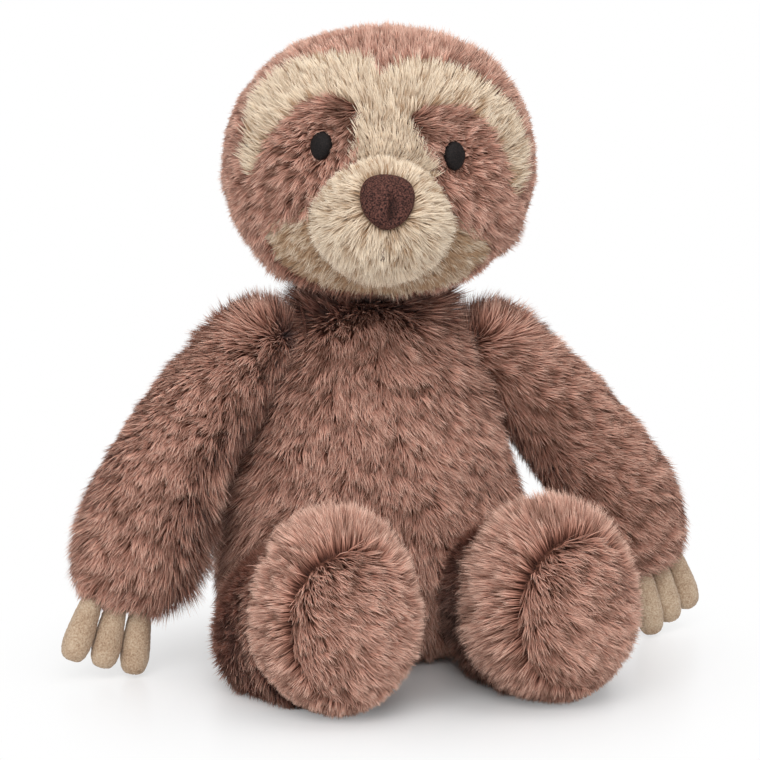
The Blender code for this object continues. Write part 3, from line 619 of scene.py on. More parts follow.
def scatter(points, density, seed):
    """Roots and outward normals spread evenly over rings of points.

    Each cell of the grid gets its share of the roots by its area. A root lies between its cell's four
    corners, and its normal comes from the same corners' normals.
    """
    normals = grid_normals(points)
    beside = np.roll(points, -1, axis=1)
    area = 0.5 * np.linalg.norm(np.cross(beside[1:] - points[:-1], beside[:-1] - points[1:]), axis=-1)
    total = area.sum()
    count = int(total * density)
    draw = np.random.default_rng(seed)
    chosen = (np.arange(count) + draw.random(count)) / count * total
    cell = np.clip(np.searchsorted(np.cumsum(area), chosen), 0, area.size - 1)
    row, column = np.divmod(cell, area.shape[1])
    later = (column + 1) % area.shape[1]
    across, along = draw.random((2, count, 1))

    def between(values):
        top = values[row, column] * (1 - across) + values[row, later] * across
        bottom = values[row + 1, column] * (1 - across) + values[row + 1, later] * across
        return top * (1 - along) + bottom * along

    return between(points), unit(between(normals))


print("roots are scattered by area")

# %% [markdown]
# A blade leaves its root at a steep angle and bends over towards the nap. Its direction is the nap's,
# turned a little by a smooth drift, by its tuft, by its lock and by chance. Towards its tip it is drawn to
# the middle of its lock, which makes locks pointed. Two numbers go into its UV map: a tone for the whole
# blade and the place from root to tip, so the material, and a bake of it, need nothing else. Its normals
# lie between the blade's own and the skin's, because a bundle of fibres shades like neither alone.

# %% Grow blades from roots
DRIFT_SIZE, DRIFT_ANGLE = 0.014, 44
TUFT_SIZE, TUFT_ANGLE = 0.0062, 34
LOCK_SIZE, LOCK_ANGLE = 0.0025, 20
LIFT_SIZE, LIFT_ANGLE, LIFT_STRAY = 0.009, 20, 7
STRAY_ANGLE, TWIST_ANGLE = 10, 34
LOCK_GATHER, GATHER_POWER = 0.58, 1.4
LENGTH_BY_LOCK, LENGTH_BY_CHANCE, LENGTH_BY_TUFT = (0.84, 0.24), (0.80, 0.30), (0.92, 0.16)
BLADE_SHARES = np.array([0.0, 0.5, 1.0])
BLADE_WIDTH, BLADE_NARROWING = 0.00046, 0.25
BLADE_NORMAL_SHARE = 0.5
TONE_MIDDLE, TONE_DRIFT, TONE_LOCK, TONE_TUFT, TONE_CHANCE = 0.48, 0.12, 0.84, 0.12, 0.42
TONE_LEAST, TONE_MOST, TONE_WIDTH = 0.02, 0.98, 0.006
MAP_LEAST, MAP_MOST = 0.01, 0.99


def grow(name, roots, normals, nap, length, lean, painted_shade_and_tone, seed):
    """A mesh of blades on roots with outward normals, combed along the nap.

    The lean is the angle away from the normal, at the root and at the tip. A point's offset from the
    root is the sum of its steps, each a mix of normal and nap by the cosine and sine of the lean there.
    """
    draw = np.random.default_rng(seed)
    count = len(roots)
    middle, lock = lock_of(roots, LOCK_SIZE, seed)
    _, tuft = lock_of(roots, TUFT_SIZE, seed + 3)
    drift = soft_noise(roots, DRIFT_SIZE, 5) - 0.5
    stray = (DRIFT_ANGLE * drift + TUFT_ANGLE * (tuft - 0.5) + LOCK_ANGLE * (lock - 0.5)
             + STRAY_ANGLE * draw.standard_normal(count))
    nap = turned_about(along_skin(nap, normals), normals, np.radians(stray))
    for (least, more), shares in ((LENGTH_BY_LOCK, lock), (LENGTH_BY_CHANCE, draw.random(count)),
                                  (LENGTH_BY_TUFT, tuft)):
        length = length * (least + more * shares)
    lift = LIFT_ANGLE * (soft_noise(roots, LIFT_SIZE, 6) - 0.5) + LIFT_STRAY * draw.standard_normal(count)
    to_middle = middle - roots
    to_middle -= (to_middle * normals).sum(axis=1, keepdims=True) * normals
    twist = np.radians(TWIST_ANGLE) * draw.standard_normal(count)
    place = roots
    rows, facings = [], []
    for index, share in enumerate(BLADE_SHARES):
        step = share - BLADE_SHARES[max(index - 1, 0)]
        angle = np.radians(lean[0] + (lean[1] - lean[0]) * (share - step / 2) + lift)[:, None]
        way = normals * np.cos(angle) + nap * np.sin(angle)
        gather = LOCK_GATHER * (share**GATHER_POWER - (share - step) ** GATHER_POWER)
        place = place + way * (length * step)[:, None] + to_middle * gather
        flat = turned_about(unit(np.cross(nap, normals)), way, twist)
        half = flat * BLADE_WIDTH / 2 * (1.0 - BLADE_NARROWING * share)
        facing = unit(normals + BLADE_NORMAL_SHARE * (np.cross(flat, way) - normals))
        corners = [place] if share == 1 else [place - half, place + half]
        rows.extend(corners)
        facings.extend([facing] * len(corners))
    vertices = rest_on_floor(np.stack(rows, axis=1).reshape(-1, 3))
    first = np.arange(count)[:, None] * len(rows)
    mesh = mesh_from(name, vertices, first + [0, 1, 3, 2], first + [2, 3, 4], closed=False)
    normal_layer = mesh.attributes.new("custom_normal", "FLOAT_VECTOR", "POINT")
    normal_layer.data.foreach_set("vector", np.stack(facings, axis=1).astype(np.float32).ravel())
    # The panel's tone, which holds painted shade and painted light, plus random differences by drift,
    # tuft, lock and chance.
    tone = (TONE_MIDDLE + painted_shade_and_tone + TONE_DRIFT * drift + TONE_LOCK * (lock - 0.5) + TONE_TUFT * (tuft - 0.5)
            + TONE_CHANCE * (draw.random(count) - 0.5))
    map_blades(mesh, np.clip(tone, TONE_LEAST, TONE_MOST - TONE_WIDTH))
    return mesh


def map_blades(mesh, tone):
    """The UV map: across is the blade's tone, and up runs from its root to its tip."""
    root, middle, tip = np.clip(BLADE_SHARES, MAP_LEAST, MAP_MOST)
    left, right = tone, tone + TONE_WIDTH
    strip = [(left, root), (right, root), (right, middle), (left, middle)]
    point = [(left, middle), (right, middle), ((left + right) / 2, tip)]
    corners = [np.stack([np.stack([u, u * 0 + v], axis=1) for u, v in face], axis=1).reshape(-1, 2)
               for face in (strip, point)]
    layer = mesh.uv_layers.new(name="OFBake")
    layer.uv.foreach_set("vector", np.concatenate(corners).astype(np.float32).ravel())


print("a blade has 3 triangles and is", BLADE_WIDTH * 1000, "mm wide")

# %% Pile in two colours
PILE_PLACES, TONE_PLACES = (0.0, 0.3, 0.65, 1.0), (0.0, 0.5, 1.0)


def pile_material(name, colours, tones):
    """Pile colour from the blade's own map: a ramp from root to tip, times a tone for each blade."""
    material, tree, shader = new_material(name)
    split = node(tree, "SeparateXYZ", Vector=node(tree, "UVMap", {"uv_map": "OFBake"}).outputs["UV"])
    along = ramp(tree, split.outputs["Y"], list(zip(PILE_PLACES, [linear(*colour) for colour in colours])))
    tone = ramp(tree, split.outputs["X"], list(zip(TONE_PLACES, [(*tone, 1) for tone in tones])))
    colour = node(tree, "Mix", MULTIPLY_COLOURS, Factor=1.0, A=along, B=tone)
    set_inputs(shader, Base_Color=colour.outputs["Result"], Roughness=0.7, Specular_IOR_Level=0.2,
               Sheen_Weight=0.08, Sheen_Roughness=0.5)
    return material


# From root to tip both piles grow lighter: the lighter tips are the fibres' own colour, and the dark roots
# are partly painted shade of the deep pile.
BROWN_PILE = pile_material("brown_pile", [(80, 46, 36), (134, 87, 71), (185, 135, 116), (218, 183, 164)],
                           [(0.32, 0.26, 0.23), (0.90, 0.855, 0.845), (1.46, 1.56, 1.62)])
# The cream's lowest tone is warm and brown, for the painted shade of the cheeks.
CREAM_PILE = pile_material("cream_pile",
                           [(172, 144, 117), (210, 186, 160), (229, 210, 185), (243, 230, 210)],
                           [(0.56, 0.41, 0.30), (0.93, 0.92, 0.91), (1.13, 1.13, 1.13)])
print("pile materials", BROWN_PILE.name, CREAM_PILE.name)

# %% [markdown]
# ## One piece of pile for each panel
#
# The panels follow the CAD: seams cut the torso, arms and legs along planes, and the face along outlines
# drawn in angles on the head. Roots that lie where another form always covers them are left out. The
# nap runs down the body and the limbs, up over the tops of the arms, back over the head, up and out over
# the face, away from the inner upper corners of the eye patches, away from the nose on the muzzle, and to
# both sides of a parting line on each sole. Pile is longer or shorter, steeper or flatter, and lighter or
# darker where the photograph shows it so. Most of the darker places are painted shade in the pile's tone:
# under the head, beside the left arm, on the right arm, on the legs, on the cheeks and in the inner upper
# corners of the eye patches. The tops of the arms and the bridge between the eyes get painted light. Most
# of these changes fade in over a short distance, as a difference over a width that is held between 0 and
# 1.

# %% Panels of the torso
DENSITY = 2.75e6
NECK_BARE, SHOULDER_BARE = 0.0185, 0.0135
SHOULDER_NEAR, SHOULDER_FADE = 0.036, 0.014
SHOULDER_RISE, COLLAR_RISE = 0.25, 0.75
COLLAR_HEIGHT, COLLAR_FADE = 0.146, 0.012
# Painted shade at the top of the chest, under the head.
CHEST_HEIGHT, CHEST_FADE, CHEST_SHADE = 0.10, 0.05, 0.16
ARM_GAP_HEIGHT, ARM_GAP_REACH = 0.078, 0.030
# Painted shade on the left flank beside the arm.
FLANK_HEIGHT, FLANK_FADE, FLANK_SHADE = 0.125, 0.03, 0.22
FAN_LEFT, FAN_RIGHT, FAN_DEEP = 5.0, 11.0, 2.0
UNDERSIDE_HEIGHT, UNDERSIDE_LENGTH = 0.004, 0.6
PIECES = {}


class Coat:
    """The roots on one skin and what combs them: the nap, the length, the lean and the tone of each, with
    painted shade and light.
    """

    def __init__(self, skin, body, matrix, seed, density=DENSITY, length=0.0105, lean=(36, 74)):
        self.roots, self.normals = scatter(SKINS[skin], density, seed)
        self.local = place_points(matrix.inverted(), self.roots)
        self.body, self.seed, self.lean = body, seed, lean
        count = len(self.roots)
        self.length = np.full(count, length)
        self.upright = np.ones(count)
        self.painted_shade_and_tone = np.zeros(count)
        self.nap = np.zeros((count, 3))
        self.kept = np.ones(count, dtype=bool)

    def panel(self, node_name, chosen, cream=False):
        """Grow one panel's pile from the chosen roots: the piece stands for the panel's CAD node."""
        chosen = chosen & self.kept
        lean = [angle * self.upright[chosen] for angle in self.lean]
        name = node_name + "_pile"
        mesh = grow(name, self.roots[chosen], self.normals[chosen], self.nap[chosen], self.length[chosen],
                    lean, self.painted_shade_and_tone[chosen], self.seed)
        cloth = ("cream_pile", CREAM_PILE) if cream else ("brown_pile", BROWN_PILE)
        new_piece(name, mesh, self.body, *cloth, node_name)
        PIECES[name] = int(chosen.sum())
        self.kept = self.kept & ~chosen


def outside(points, centre, radius):
    """Whether points lie outside a ball: the squared distance is more than the squared radius."""
    return ((points - np.array(centre)) ** 2).sum(axis=1) > radius**2


def ellipsoid(points, middle, half):
    """The sum of squares of the offsets over the half sizes: one on the surface, and less inside."""
    return (((points - middle) / half) ** 2).sum(axis=1)


def inside_torso(points, depth):
    """Whether points lie deeper in the torso than a depth, by its formula in its own frame."""
    local = points - np.array(SEAT_CENTRE)
    share = held(1 - local[:, 2] / TORSO_HEIGHT)
    rounding = held(1 - np.abs(1 - 2 * share) ** TORSO_FORM.power) ** (1 / TORSO_FORM.power)
    wide = np.maximum(rounding * (TORSO_FORM.width * flow(TORSO_FORM.table, 1, share)) - depth, 1e-6)
    deep = np.maximum(rounding * (TORSO_FORM.depth * flow(TORSO_FORM.table, 2, share)) - depth, 1e-6)
    y = local[:, 1] + TORSO_LEAN * flow(TORSO_FORM.table, 3, 1 - share)
    return (local[:, 0] / wide) ** 2 + (y / deep) ** 2 < 1


torso = Coat("torso", "torso", TORSO_MATRIX, 11)
torso.kept &= outside(torso.roots, JOINTS["neck_turn"], NECK_BARE)
near_shoulder = np.zeros(len(torso.roots))
for limb in SIDES:
    shoulder = np.array(JOINTS["shoulder_swing_" + limb])
    torso.kept &= outside(torso.roots, shoulder, SHOULDER_BARE)
    away = np.linalg.norm(torso.roots - shoulder, axis=1)
    near_shoulder = np.maximum(near_shoulder, held((SHOULDER_NEAR - away) / SHOULDER_FADE))
    torso.kept &= outside(torso.roots, JOINTS["hip_swing_" + limb], LEG_BALL)
across, deep, height = torso.local.T
leftward = -torso.normals[:, 0]
fan = np.where(across > 0, FAN_RIGHT, FAN_LEFT)
torso.nap = np.stack([across * fan, deep * FAN_DEEP, np.full(len(height), -1.0)], axis=1)
top = held((height - COLLAR_HEIGHT) / COLLAR_FADE)
sideways = np.clip((np.abs(across) - 0.008) / 0.014, 0.6, 1)
torso.upright = np.minimum(1 - COLLAR_RISE * top * sideways, 1 - SHOULDER_RISE * near_shoulder)
# A small lift of the whole tone, and painted shade that darkens the top of the chest under the head.
torso.painted_shade_and_tone += 0.05 - CHEST_SHADE * held((height - CHEST_HEIGHT) / CHEST_FADE)
torso.length *= np.maximum(1 + COLLAR_RISE * top * sideways, 1 + SHOULDER_RISE * near_shoulder)
beside_arm = held(1 - np.abs(height - ARM_GAP_HEIGHT) / ARM_GAP_REACH) * held(2 * leftward - 1)
torso.length *= 1 + 0.4 * beside_arm
torso.upright *= 1 - 0.3 * beside_arm
# Painted shade on the left flank, low beside the arm, where the arm shades it.
torso.painted_shade_and_tone -= FLANK_SHADE * (held((leftward - 0.68) / 0.2) * held((FLANK_HEIGHT - height) / FLANK_FADE))
under = height < UNDERSIDE_HEIGHT
torso.nap[under] = torso.local[under] * [1, 1, 0]
torso.length[under] *= UNDERSIDE_LENGTH
seat = height < SEAT_SEAM_HEIGHT
front = deep < TORSO_SIDE_SEAM
for limb, side in SIDES.items():
    flank = across * side > 0
    torso.panel("belly_" + limb, ~seat & front & flank)
    torso.panel("back_" + limb, ~seat & ~front & flank)
torso.panel("seat_panel", seat)
print(PIECES)

# %% Panels of the arms
ARM_COVERED = 0.006
TOP_SHARE, TOP_END, LOW_FROM, OUTER_END, SHARE_FADE = 0.22, 0.42, 0.34, 0.72, 0.2
ARM_NAP_OUT = {"left": 0.35, "right": 0.8}
# Painted shade on the right arm, on the side away from the key lamp.
ARM_SHADE = {"left": 0.0, "right": -0.12}
SHOULDER_SHARE = 0.15
for limb, side in SIDES.items():
    matrix, form = ARM_MATRICES[limb], ARM_FORMS[limb]
    arm = Coat("arm_" + limb, "arm_" + limb, matrix, 31, lean=(34, 72))
    arm.kept &= ~inside_torso(arm.roots, ARM_COVERED)
    share = held(-arm.local[:, 2] / ARM_LENGTH)
    bent = share * form.bend
    down = np.stack([form.side * np.sin(bent), bent * 0, -np.cos(bent)], axis=1)
    along_arm = down @ np.array(matrix.to_3x3()).T + np.array([side * ARM_NAP_OUT[limb], 0, -0.1])
    over_top = np.array([side * 0.25, -0.2, 0.9])
    upper = ((1 - held(share / TOP_SHARE)) * held(arm.normals[:, 2] * 2.2 - 0.5))[:, None]
    arm.nap = along_arm * (1 - upper) + over_top * upper
    top = held(1 - share / TOP_END) * held(arm.normals[:, 2] * 1.5)
    inner_side = -side * arm.normals[:, 0]
    low_inner = held((share - LOW_FROM) / SHARE_FADE) * held(inner_side * 1.4) * (side < 0)
    outer = held(-inner_side * 1.4) * held((OUTER_END - share) / SHARE_FADE)
    arm.upright = 1 - 0.15 * top - 0.35 * low_inner
    arm.length *= 1 + 0.45 * top * (share < SHOULDER_SHARE) + 0.55 * low_inner - 0.27 * outer * (1 - top)
    # Painted shade on the right arm, and painted light that lifts the tops of the arms out of the head's
    # shadow.
    arm.painted_shade_and_tone += ARM_SHADE[limb] + 0.12 * top
    front = arm.local[:, 1] < 0
    arm.panel("arm_front_panel_" + limb, front)
    arm.panel("arm_back_panel_" + limb, ~front)
print({name: count for name, count in PIECES.items() if name.startswith("arm")})

# %% Panels of the legs
PARTINGS = {"left": [(-0.0365, -0.021), (-0.024, -0.029), (-0.006, -0.034), (0.004, -0.036),
                     (0.03, -0.027)],
            "right": [(-0.036, -0.0225), (-0.012, -0.031), (0.02, -0.030)]}
PARTING_WIDTH, PARTING_END, PARTING_FADE = 0.010, 0.009, 0.020
SOLE_HALF = (0.034, 0.043)
SOLE_SIDES = {"left": (0.42, 0.34), "right": (-0.15, 0.40)}
LEG_COVERED = 0.004
FOOT_START, FOOT_FADE = 0.045, 0.03
LOW_END, HIGH_START, HIGH_FADE = 0.030, 0.060, 0.015


def sole_nap(places, parting):
    """The nap of a sole, in its own plane: down it, parted to both sides of a line, and up above it.

    The spread is a hyperbolic tangent of the distance from the line, and near the rim the nap turns out.
    """
    down, across = np.array(parting).T
    spread = np.tanh((places[:, 0] - np.interp(places[:, 1], down, across)) / PARTING_WIDTH)
    above = held((down[0] + PARTING_END - places[:, 1]) / PARTING_FADE)
    rim = held((np.hypot(places[:, 0] / SOLE_HALF[0], places[:, 1] / SOLE_HALF[1]) - 0.72) / 0.3)
    side_way = np.where(spread < 0, 1.1, 0.65) * spread * (1 - above)
    side_way = side_way + above * (places[:, 0] - across[0]) / 0.014
    down_way = 0.75 * (1 - above) - 1.0 * above
    flat = np.stack([side_way, down_way, side_way * 0], axis=1)
    return flat + rim[:, None] * unit(places * [1, 1, 0]) * 1.2


for limb, side in SIDES.items():
    matrix = LEG_MATRICES[limb]
    turn = np.array(matrix.to_3x3())
    leg = Coat("leg_" + limb, "leg_" + limb, matrix, 51, lean=(26, 62))
    local = leg.local
    sole = local[:, 2] < -(LEG_LENGTH - SOLE_DEPTH)
    leg.kept &= ~inside_torso(leg.roots, LEG_COVERED) | sole
    away = sole_nap(local, PARTINGS[limb]) @ turn.T
    low = held(1 - leg.roots[:, 2] / LOW_END)
    rim = held((-local[:, 2] - FOOT_START) / FOOT_FADE)
    outward = unit(local * [1, 1, 0]) @ turn.T
    backward = turn @ np.array([0, 0, 1.0])
    side_nap = rim[:, None] * (backward + 0.4 * outward) + (1 - rim[:, None]) * (-backward)
    leg.nap = np.where(sole[:, None], away, side_nap + np.array([0, 0, -0.3]))
    leg.upright = np.where(sole, 1.08, 1 - 0.45 * rim) + 0.20 * low * (sole | (rim > 0.5))
    high = held((leg.roots[:, 2] - HIGH_START) / HIGH_FADE)
    beside = held(np.abs(local[:, 0]) / SOLE_HALF[0]) * np.where(local[:, 0] < 0, *SOLE_SIDES[limb])
    leg.length *= np.where(sole | (rim > 0.5), 1.1 - 0.72 * low + 0.12 * high - beside, 1.0)
    # Painted shade on the legs above the feet, and low on the right foot near the floor.
    leg.painted_shade_and_tone -= 0.06 * (1 - rim) * ~sole + 0.22 * low * (side > 0)
    inner = local[:, 0] * side < 0
    leg.panel("leg_inner_panel_" + limb, ~sole & inner)
    leg.panel("leg_outer_panel_" + limb, ~sole & ~inner)
    leg.panel("sole_panel_" + limb, sole)
print({name: count for name, count in PIECES.items() if "leg" in name or "sole" in name})

# %% [markdown]
# The face is drawn in two angles on the head, to the side and up. A root belongs to a panel when the tip
# of its blade would lie inside the panel's outline, so the colours meet where the photograph has them
# and the seam hides under the pile. The even-odd rule tells inside from outside: a line from the point
# crosses the outline an odd number of times. The muzzle covers its own part of the face.

# %% Outlines and angles on the head
FACE_HALF = [(0, 51), (7, 56), (15, 60), (26, 60), (40, 58), (55, 53), (65, 44), (70, 32), (70, 20),
             (67, 8), (63, -6), (61, -20), (61, -36), (66, -50), (58, -64), (30, -71), (0, -72)]
PATCH = [(24, 35), (34, 34), (42, 28), (48, 18), (53, 8), (57, -5), (64, -12), (80, -24), (78, -34),
         (60, -33), (50, -28), (38, -23), (27, -17)]
PATCH_INNER = {"left": [(18, -8), (13, 2), (13, 12), (14, 24), (17, 32)],
               "right": [(20, -10), (19, 2), (14, 13), (9, 23), (13, 31)]}
PATCH_SOURCE = {"left": (-11, 31), "right": (5, 27)}
BROW_SKEW, SKEW_FROM, SKEW_FADE = -5.0, 20, 30
BROW_CUT_ANGLE = -12.0
EYE_ANGLES = (26.0, 12.5)
HEAD_MIDDLE = np.array([0, 0, HEAD_RISE])
HEAD_TURNED = np.array(HEAD_MATRIX.to_3x3())


def closed_curve(points, steps):
    """A smooth closed outline: between two points, a cubic whose slopes come from their neighbours."""
    here = np.array(points, dtype=float)
    before, after, later = (np.roll(here, shift, axis=0) for shift in (1, -1, -2))
    t = (np.arange(steps) / steps)[:, None, None]
    curve = 0.5 * (2 * here + (after - before) * t + (2 * before - 5 * here + 4 * after - later) * t**2
                   + (3 * here - before - 3 * after + later) * t**3)
    return np.swapaxes(curve, 0, 1).reshape(-1, 2)


def within(outline, places):
    """The even-odd rule, for all places at once."""
    crossed = np.zeros(len(places), dtype=bool)
    for (x0, y0), (x1, y1) in zip(outline, np.roll(outline, -1, axis=0)):
        spans = (y0 > places[:, 1]) != (y1 > places[:, 1])
        rise = y1 - y0 if y1 != y0 else 1.0
        crossed ^= spans & (places[:, 0] < (x1 - x0) * (places[:, 1] - y0) / rise + x0)
    return crossed


def head_angles(points):
    """Angles to the side and up of points on the head, in degrees, from its ellipsoid."""
    ball = unit((place_points(HEAD_MATRIX.inverted(), points) - HEAD_MIDDLE) / HEAD_HALF)
    side = np.degrees(np.arctan2(ball[:, 0], -ball[:, 1]))
    return np.stack([side, np.degrees(np.arcsin(np.clip(ball[:, 2], -1, 1)))], axis=1)


def head_ball(side, up):
    """A point of a ball of radius one from its angles to the side and up, in degrees."""
    side, up = np.radians([side, up])
    return np.array([np.sin(side) * np.cos(up), -np.cos(side) * np.cos(up), np.sin(up)])


def head_point(side, up):
    """A placed point of the head's surface from its two angles: the ball's point, times the half sizes."""
    return place_points(HEAD_MATRIX, (head_ball(side, up) * HEAD_HALF + HEAD_MIDDLE)[None])[0]


FACE_OUTLINE = closed_curve(FACE_HALF + [(-side, up) for side, up in reversed(FACE_HALF[1:-1])], 6)
FACE_OUTLINE[:, 0] += BROW_SKEW * held((FACE_OUTLINE[:, 1] - SKEW_FROM) / SKEW_FADE)
print("the face outline has", len(FACE_OUTLINE), "points")

# %% Panels of the head
TIP_REACH = 0.0065
MUZZLE_COVERED, CHIN_BARE, EYE_BARE = 0.004, 0.0205, 0.0050
HEAD_PILE, BRIDGE_SHORTER, CHEEK_PILE, PATCH_PILE = 0.0095, 0.0024, 0.0075, 0.009
BROW_SOURCE, CHEEK_SOURCE = (0, -32), (0, -6)
# Painted shade on the cheeks, under the muzzle.
CHEEK_SHADE = -0.38
NEAR_EYE, NEAR_SOURCE, PATCH_UPRIGHT = 0.017, 0.014, 1.08
FLANK_START, FLANK_WIDTH, BEHIND_WIDTH = 0.040, 0.022, 0.030
head = Coat("head", "head", HEAD_MATRIX, 71, density=DENSITY * 1.1, length=HEAD_PILE, lean=(26, 62))
local = head.local
head.kept &= ellipsoid(local, MUZZLE_MIDDLE, MUZZLE_HALF - MUZZLE_COVERED) > 1
head.kept &= outside(head.roots, JOINTS["neck_turn"], CHIN_BARE)
for limb, side in SIDES.items():
    eye = head_point(side * EYE_ANGLES[0], EYE_ANGLES[1])
    head.kept &= outside(head.roots, eye, EYE_BARE)
    source = head_point(*PATCH_SOURCE[limb])
    nap = along_skin(head.roots - source, head.normals)
    outline = closed_curve([(side * across, up) for across, up in PATCH + PATCH_INNER[limb]], 6)
    patch = within(outline, head_angles(head.roots + nap * TIP_REACH * 0.7))
    head.nap[patch] = nap[patch]
    near = np.clip(np.linalg.norm(head.roots - eye, axis=1) / NEAR_EYE, 0.35, 1)
    head.length[patch] = (PATCH_PILE * near)[patch]
    head.upright[patch] = PATCH_UPRIGHT
    by_source = held(1.3 - np.linalg.norm(head.roots - source, axis=1) / NEAR_SOURCE)
    # A darker tone for the eye patches, and painted shade in their inner upper corners, near the source of
    # their nap.
    head.painted_shade_and_tone[patch] = -0.08 - 0.30 * by_source[patch]
    head.panel("eye_patch_" + limb, patch)

angles = head_angles(head.roots)
upper = local[:, 2] > HEAD_RISE + HEAD_HALF[2] * math.sin(math.radians(BROW_CUT_ANGLE))
source = np.where(upper[:, None], head_point(*BROW_SOURCE), head_point(*CHEEK_SOURCE))
nap = along_skin(head.roots - source, head.normals)
face = within(FACE_OUTLINE, head_angles(head.roots + nap * TIP_REACH))
head.nap[:] = nap
between_eyes = held(1.5 - np.abs(angles[:, 0]) / 14) * held((28 - angles[:, 1]) / 12)
head.length[:] = HEAD_PILE - BRIDGE_SHORTER * between_eyes
head.upright[:] = 1 + 0.18 * between_eyes
# Painted light between the eyes, against the shade between the short blades there.
head.painted_shade_and_tone[:] = 0.24 * between_eyes
head.panel("brow_panel", face & upper, cream=True)
head.length[:] = CHEEK_PILE
head.upright[:] = 1.15
# Painted shade on the cheeks, under the muzzle.
head.painted_shade_and_tone[:] = CHEEK_SHADE
head.panel("cheek_panel", face & ~upper, cream=True)
flank = held((np.abs(local[:, 0]) - FLANK_START) / FLANK_WIDTH)
skew = np.tanh(local[:, 0] / 0.02) * np.clip((local[:, 2] - HEAD_RISE) / 0.03, -1, 1)
head.length[:] = (HEAD_PILE - 0.0016 * flank - 0.0014 * flank * (local[:, 0] > 0)) * (1 + 0.22 * skew)
head.upright[:] = 1 + 0.32 * flank
head.painted_shade_and_tone[:] = -0.06 * flank
behind = held(local[:, 1] / BEHIND_WIDTH)[:, None]
head.nap[:] = (np.array([0.0, 1.0, -0.25]) - behind * [0.0, 0.7, 1.2]) @ HEAD_TURNED.T
for limb, side in SIDES.items():
    head.panel("head_back_" + limb, local[:, 0] * side > 0)
print({name: count for name, count in PIECES.items() if "head" in name or "patch" in name})

# %% Pile of the muzzle
NOSE_HALF_WIDTH, NOSE_HEIGHT, NOSE_LIFT = 0.0120, 0.0230, 0.0085
NOSE_MIDDLE = MUZZLE_MIDDLE + [0, -MUZZLE_HALF[1], NOSE_LIFT]
NOSE_COVERED = [NOSE_HALF_WIDTH * 0.85, 1.0, NOSE_HEIGHT * 0.42]
HEAD_COVERED = 0.003
MUZZLE_PILE = 0.0084
muzzle = Coat("muzzle", "head", HEAD_MATRIX, 91, density=DENSITY * 1.2, length=MUZZLE_PILE, lean=(30, 66))
local = muzzle.local
muzzle.kept &= ellipsoid(local, HEAD_MIDDLE, HEAD_HALF - HEAD_COVERED) > 1
muzzle.kept &= (ellipsoid(local, NOSE_MIDDLE, NOSE_COVERED) > 1) | (local[:, 1] > MUZZLE_MIDDLE[1])
muzzle.nap = (local - NOSE_MIDDLE) @ HEAD_TURNED.T
above_head = np.sqrt(ellipsoid(local, HEAD_MIDDLE, HEAD_HALF)) - 1
upper = held((local[:, 2] - MUZZLE_MIDDLE[2]) / 0.010)
muzzle.length *= 1 - 0.5 * upper * held(1 - above_head / 0.22)
muzzle.panel("muzzle_panel", muzzle.kept, cream=True)
print("muzzle", PIECES["muzzle_panel_pile"], "and", sum(PIECES.values()), "blades in all")

# %% [markdown]
# ## Claws, eyes, nose and stitches
#
# The claws are stuffed tubes of short velour, which shows as a fine grain and a groove at each side
# seam. A claw is the limbs' formula again, moved in and out by a fraction of a millimetre of hashed
# noise, so that its outline is grainy too.

# %% Claws of velour
CLAW_LENGTH, CLAW_ROOT, CLAW_SPACING, CLAW_FAN = 0.0265, 0.0050, 0.0116, 6.5
CLAW_SET, CLAW_OFFSET, CLAW_ROW_TILT = 0.0022, 0.003, 5.0
CLAW_FOLD = {"left": 0.0, "right": 15.0}
CLAW_SHARES = [(0.0, 0.76, 0.76), (0.3, 0.84, 0.86), (0.7, 1.0, 1.0), (1.0, 1.04, 1.0)]
CLAW_HALF_WIDTH, CLAW_HALF_DEPTH = 0.0066, 0.0060
CLAW_FORM = Form(CLAW_LENGTH + CLAW_ROOT, CLAW_HALF_WIDTH, CLAW_HALF_DEPTH, 3.2, CLAW_SHARES,
                 start=CLAW_ROOT)
CLAW_GRAIN, CLAW_GRAIN_SIZE = 0.0003, 0.0007
CLAW_SEAM, CLAW_SEAM_WIDTH = 0.0005, 0.0009
CLAW_GRID, CLAW_FILL = (88, 72), 0.9
VELOUR = grained_material("claw_velour", {"Scale": 1300.0, "Detail": 2.0, "Roughness": 0.7},
                          [(0.32, linear(146, 118, 94)), (0.48, linear(184, 158, 133)),
                           (0.66, linear(208, 189, 164))], (0.8, 0.0005), 0.9, 0.15, wear=0.3, sheen=0.15)


def hand_matrix(limb, side):
    """The frame of the row of claws: the end of the arm's spine, set out, tilted and folded."""
    across, down, angle = ARM_FORMS[limb].spine(ARM_LENGTH)
    hand = Matrix.Translation((float(across), 0, float(down))) @ turned(side * math.degrees(angle), "Y")
    hand = hand @ Matrix.Translation((side * CLAW_OFFSET, 0, -CLAW_SET))
    return ARM_MATRICES[limb] @ hand @ turned(-side * CLAW_ROW_TILT, "Y") @ turned(CLAW_FOLD[limb], "X")


def claw_points(matrix, salt):
    """The form's surface moved along its normals: out by grain, in along the two side seams."""
    turn, along = ball_grid(*CLAW_GRID)
    points = CLAW_FORM.points(turn, along, 0.0)
    grain = hashed(np.floor(points / CLAW_GRAIN_SIZE).astype(np.int64), salt) - 0.3
    seam = np.exp(-((np.sin(turn) * CLAW_HALF_DEPTH / CLAW_SEAM_WIDTH) ** 2))
    moved = points + grid_normals(points) * (CLAW_GRAIN * grain - CLAW_SEAM * seam)[..., None]
    return rest_on_floor(place_points(matrix, moved))


for limb, side in SIDES.items():
    hand = hand_matrix(limb, side)
    for index, claw in enumerate(("inner", "middle", "outer")):
        outward = side * (index - 1)
        matrix = hand @ Matrix.Translation((outward * CLAW_SPACING, 0, 0))
        points = claw_points(matrix @ turned(-outward * CLAW_FAN, "Y"), 7 + index)
        name = "claw_" + claw + "_" + limb
        piece = closed_piece(name + "_velour", points, "claws_" + limb, "claw_velour", VELOUR, name)

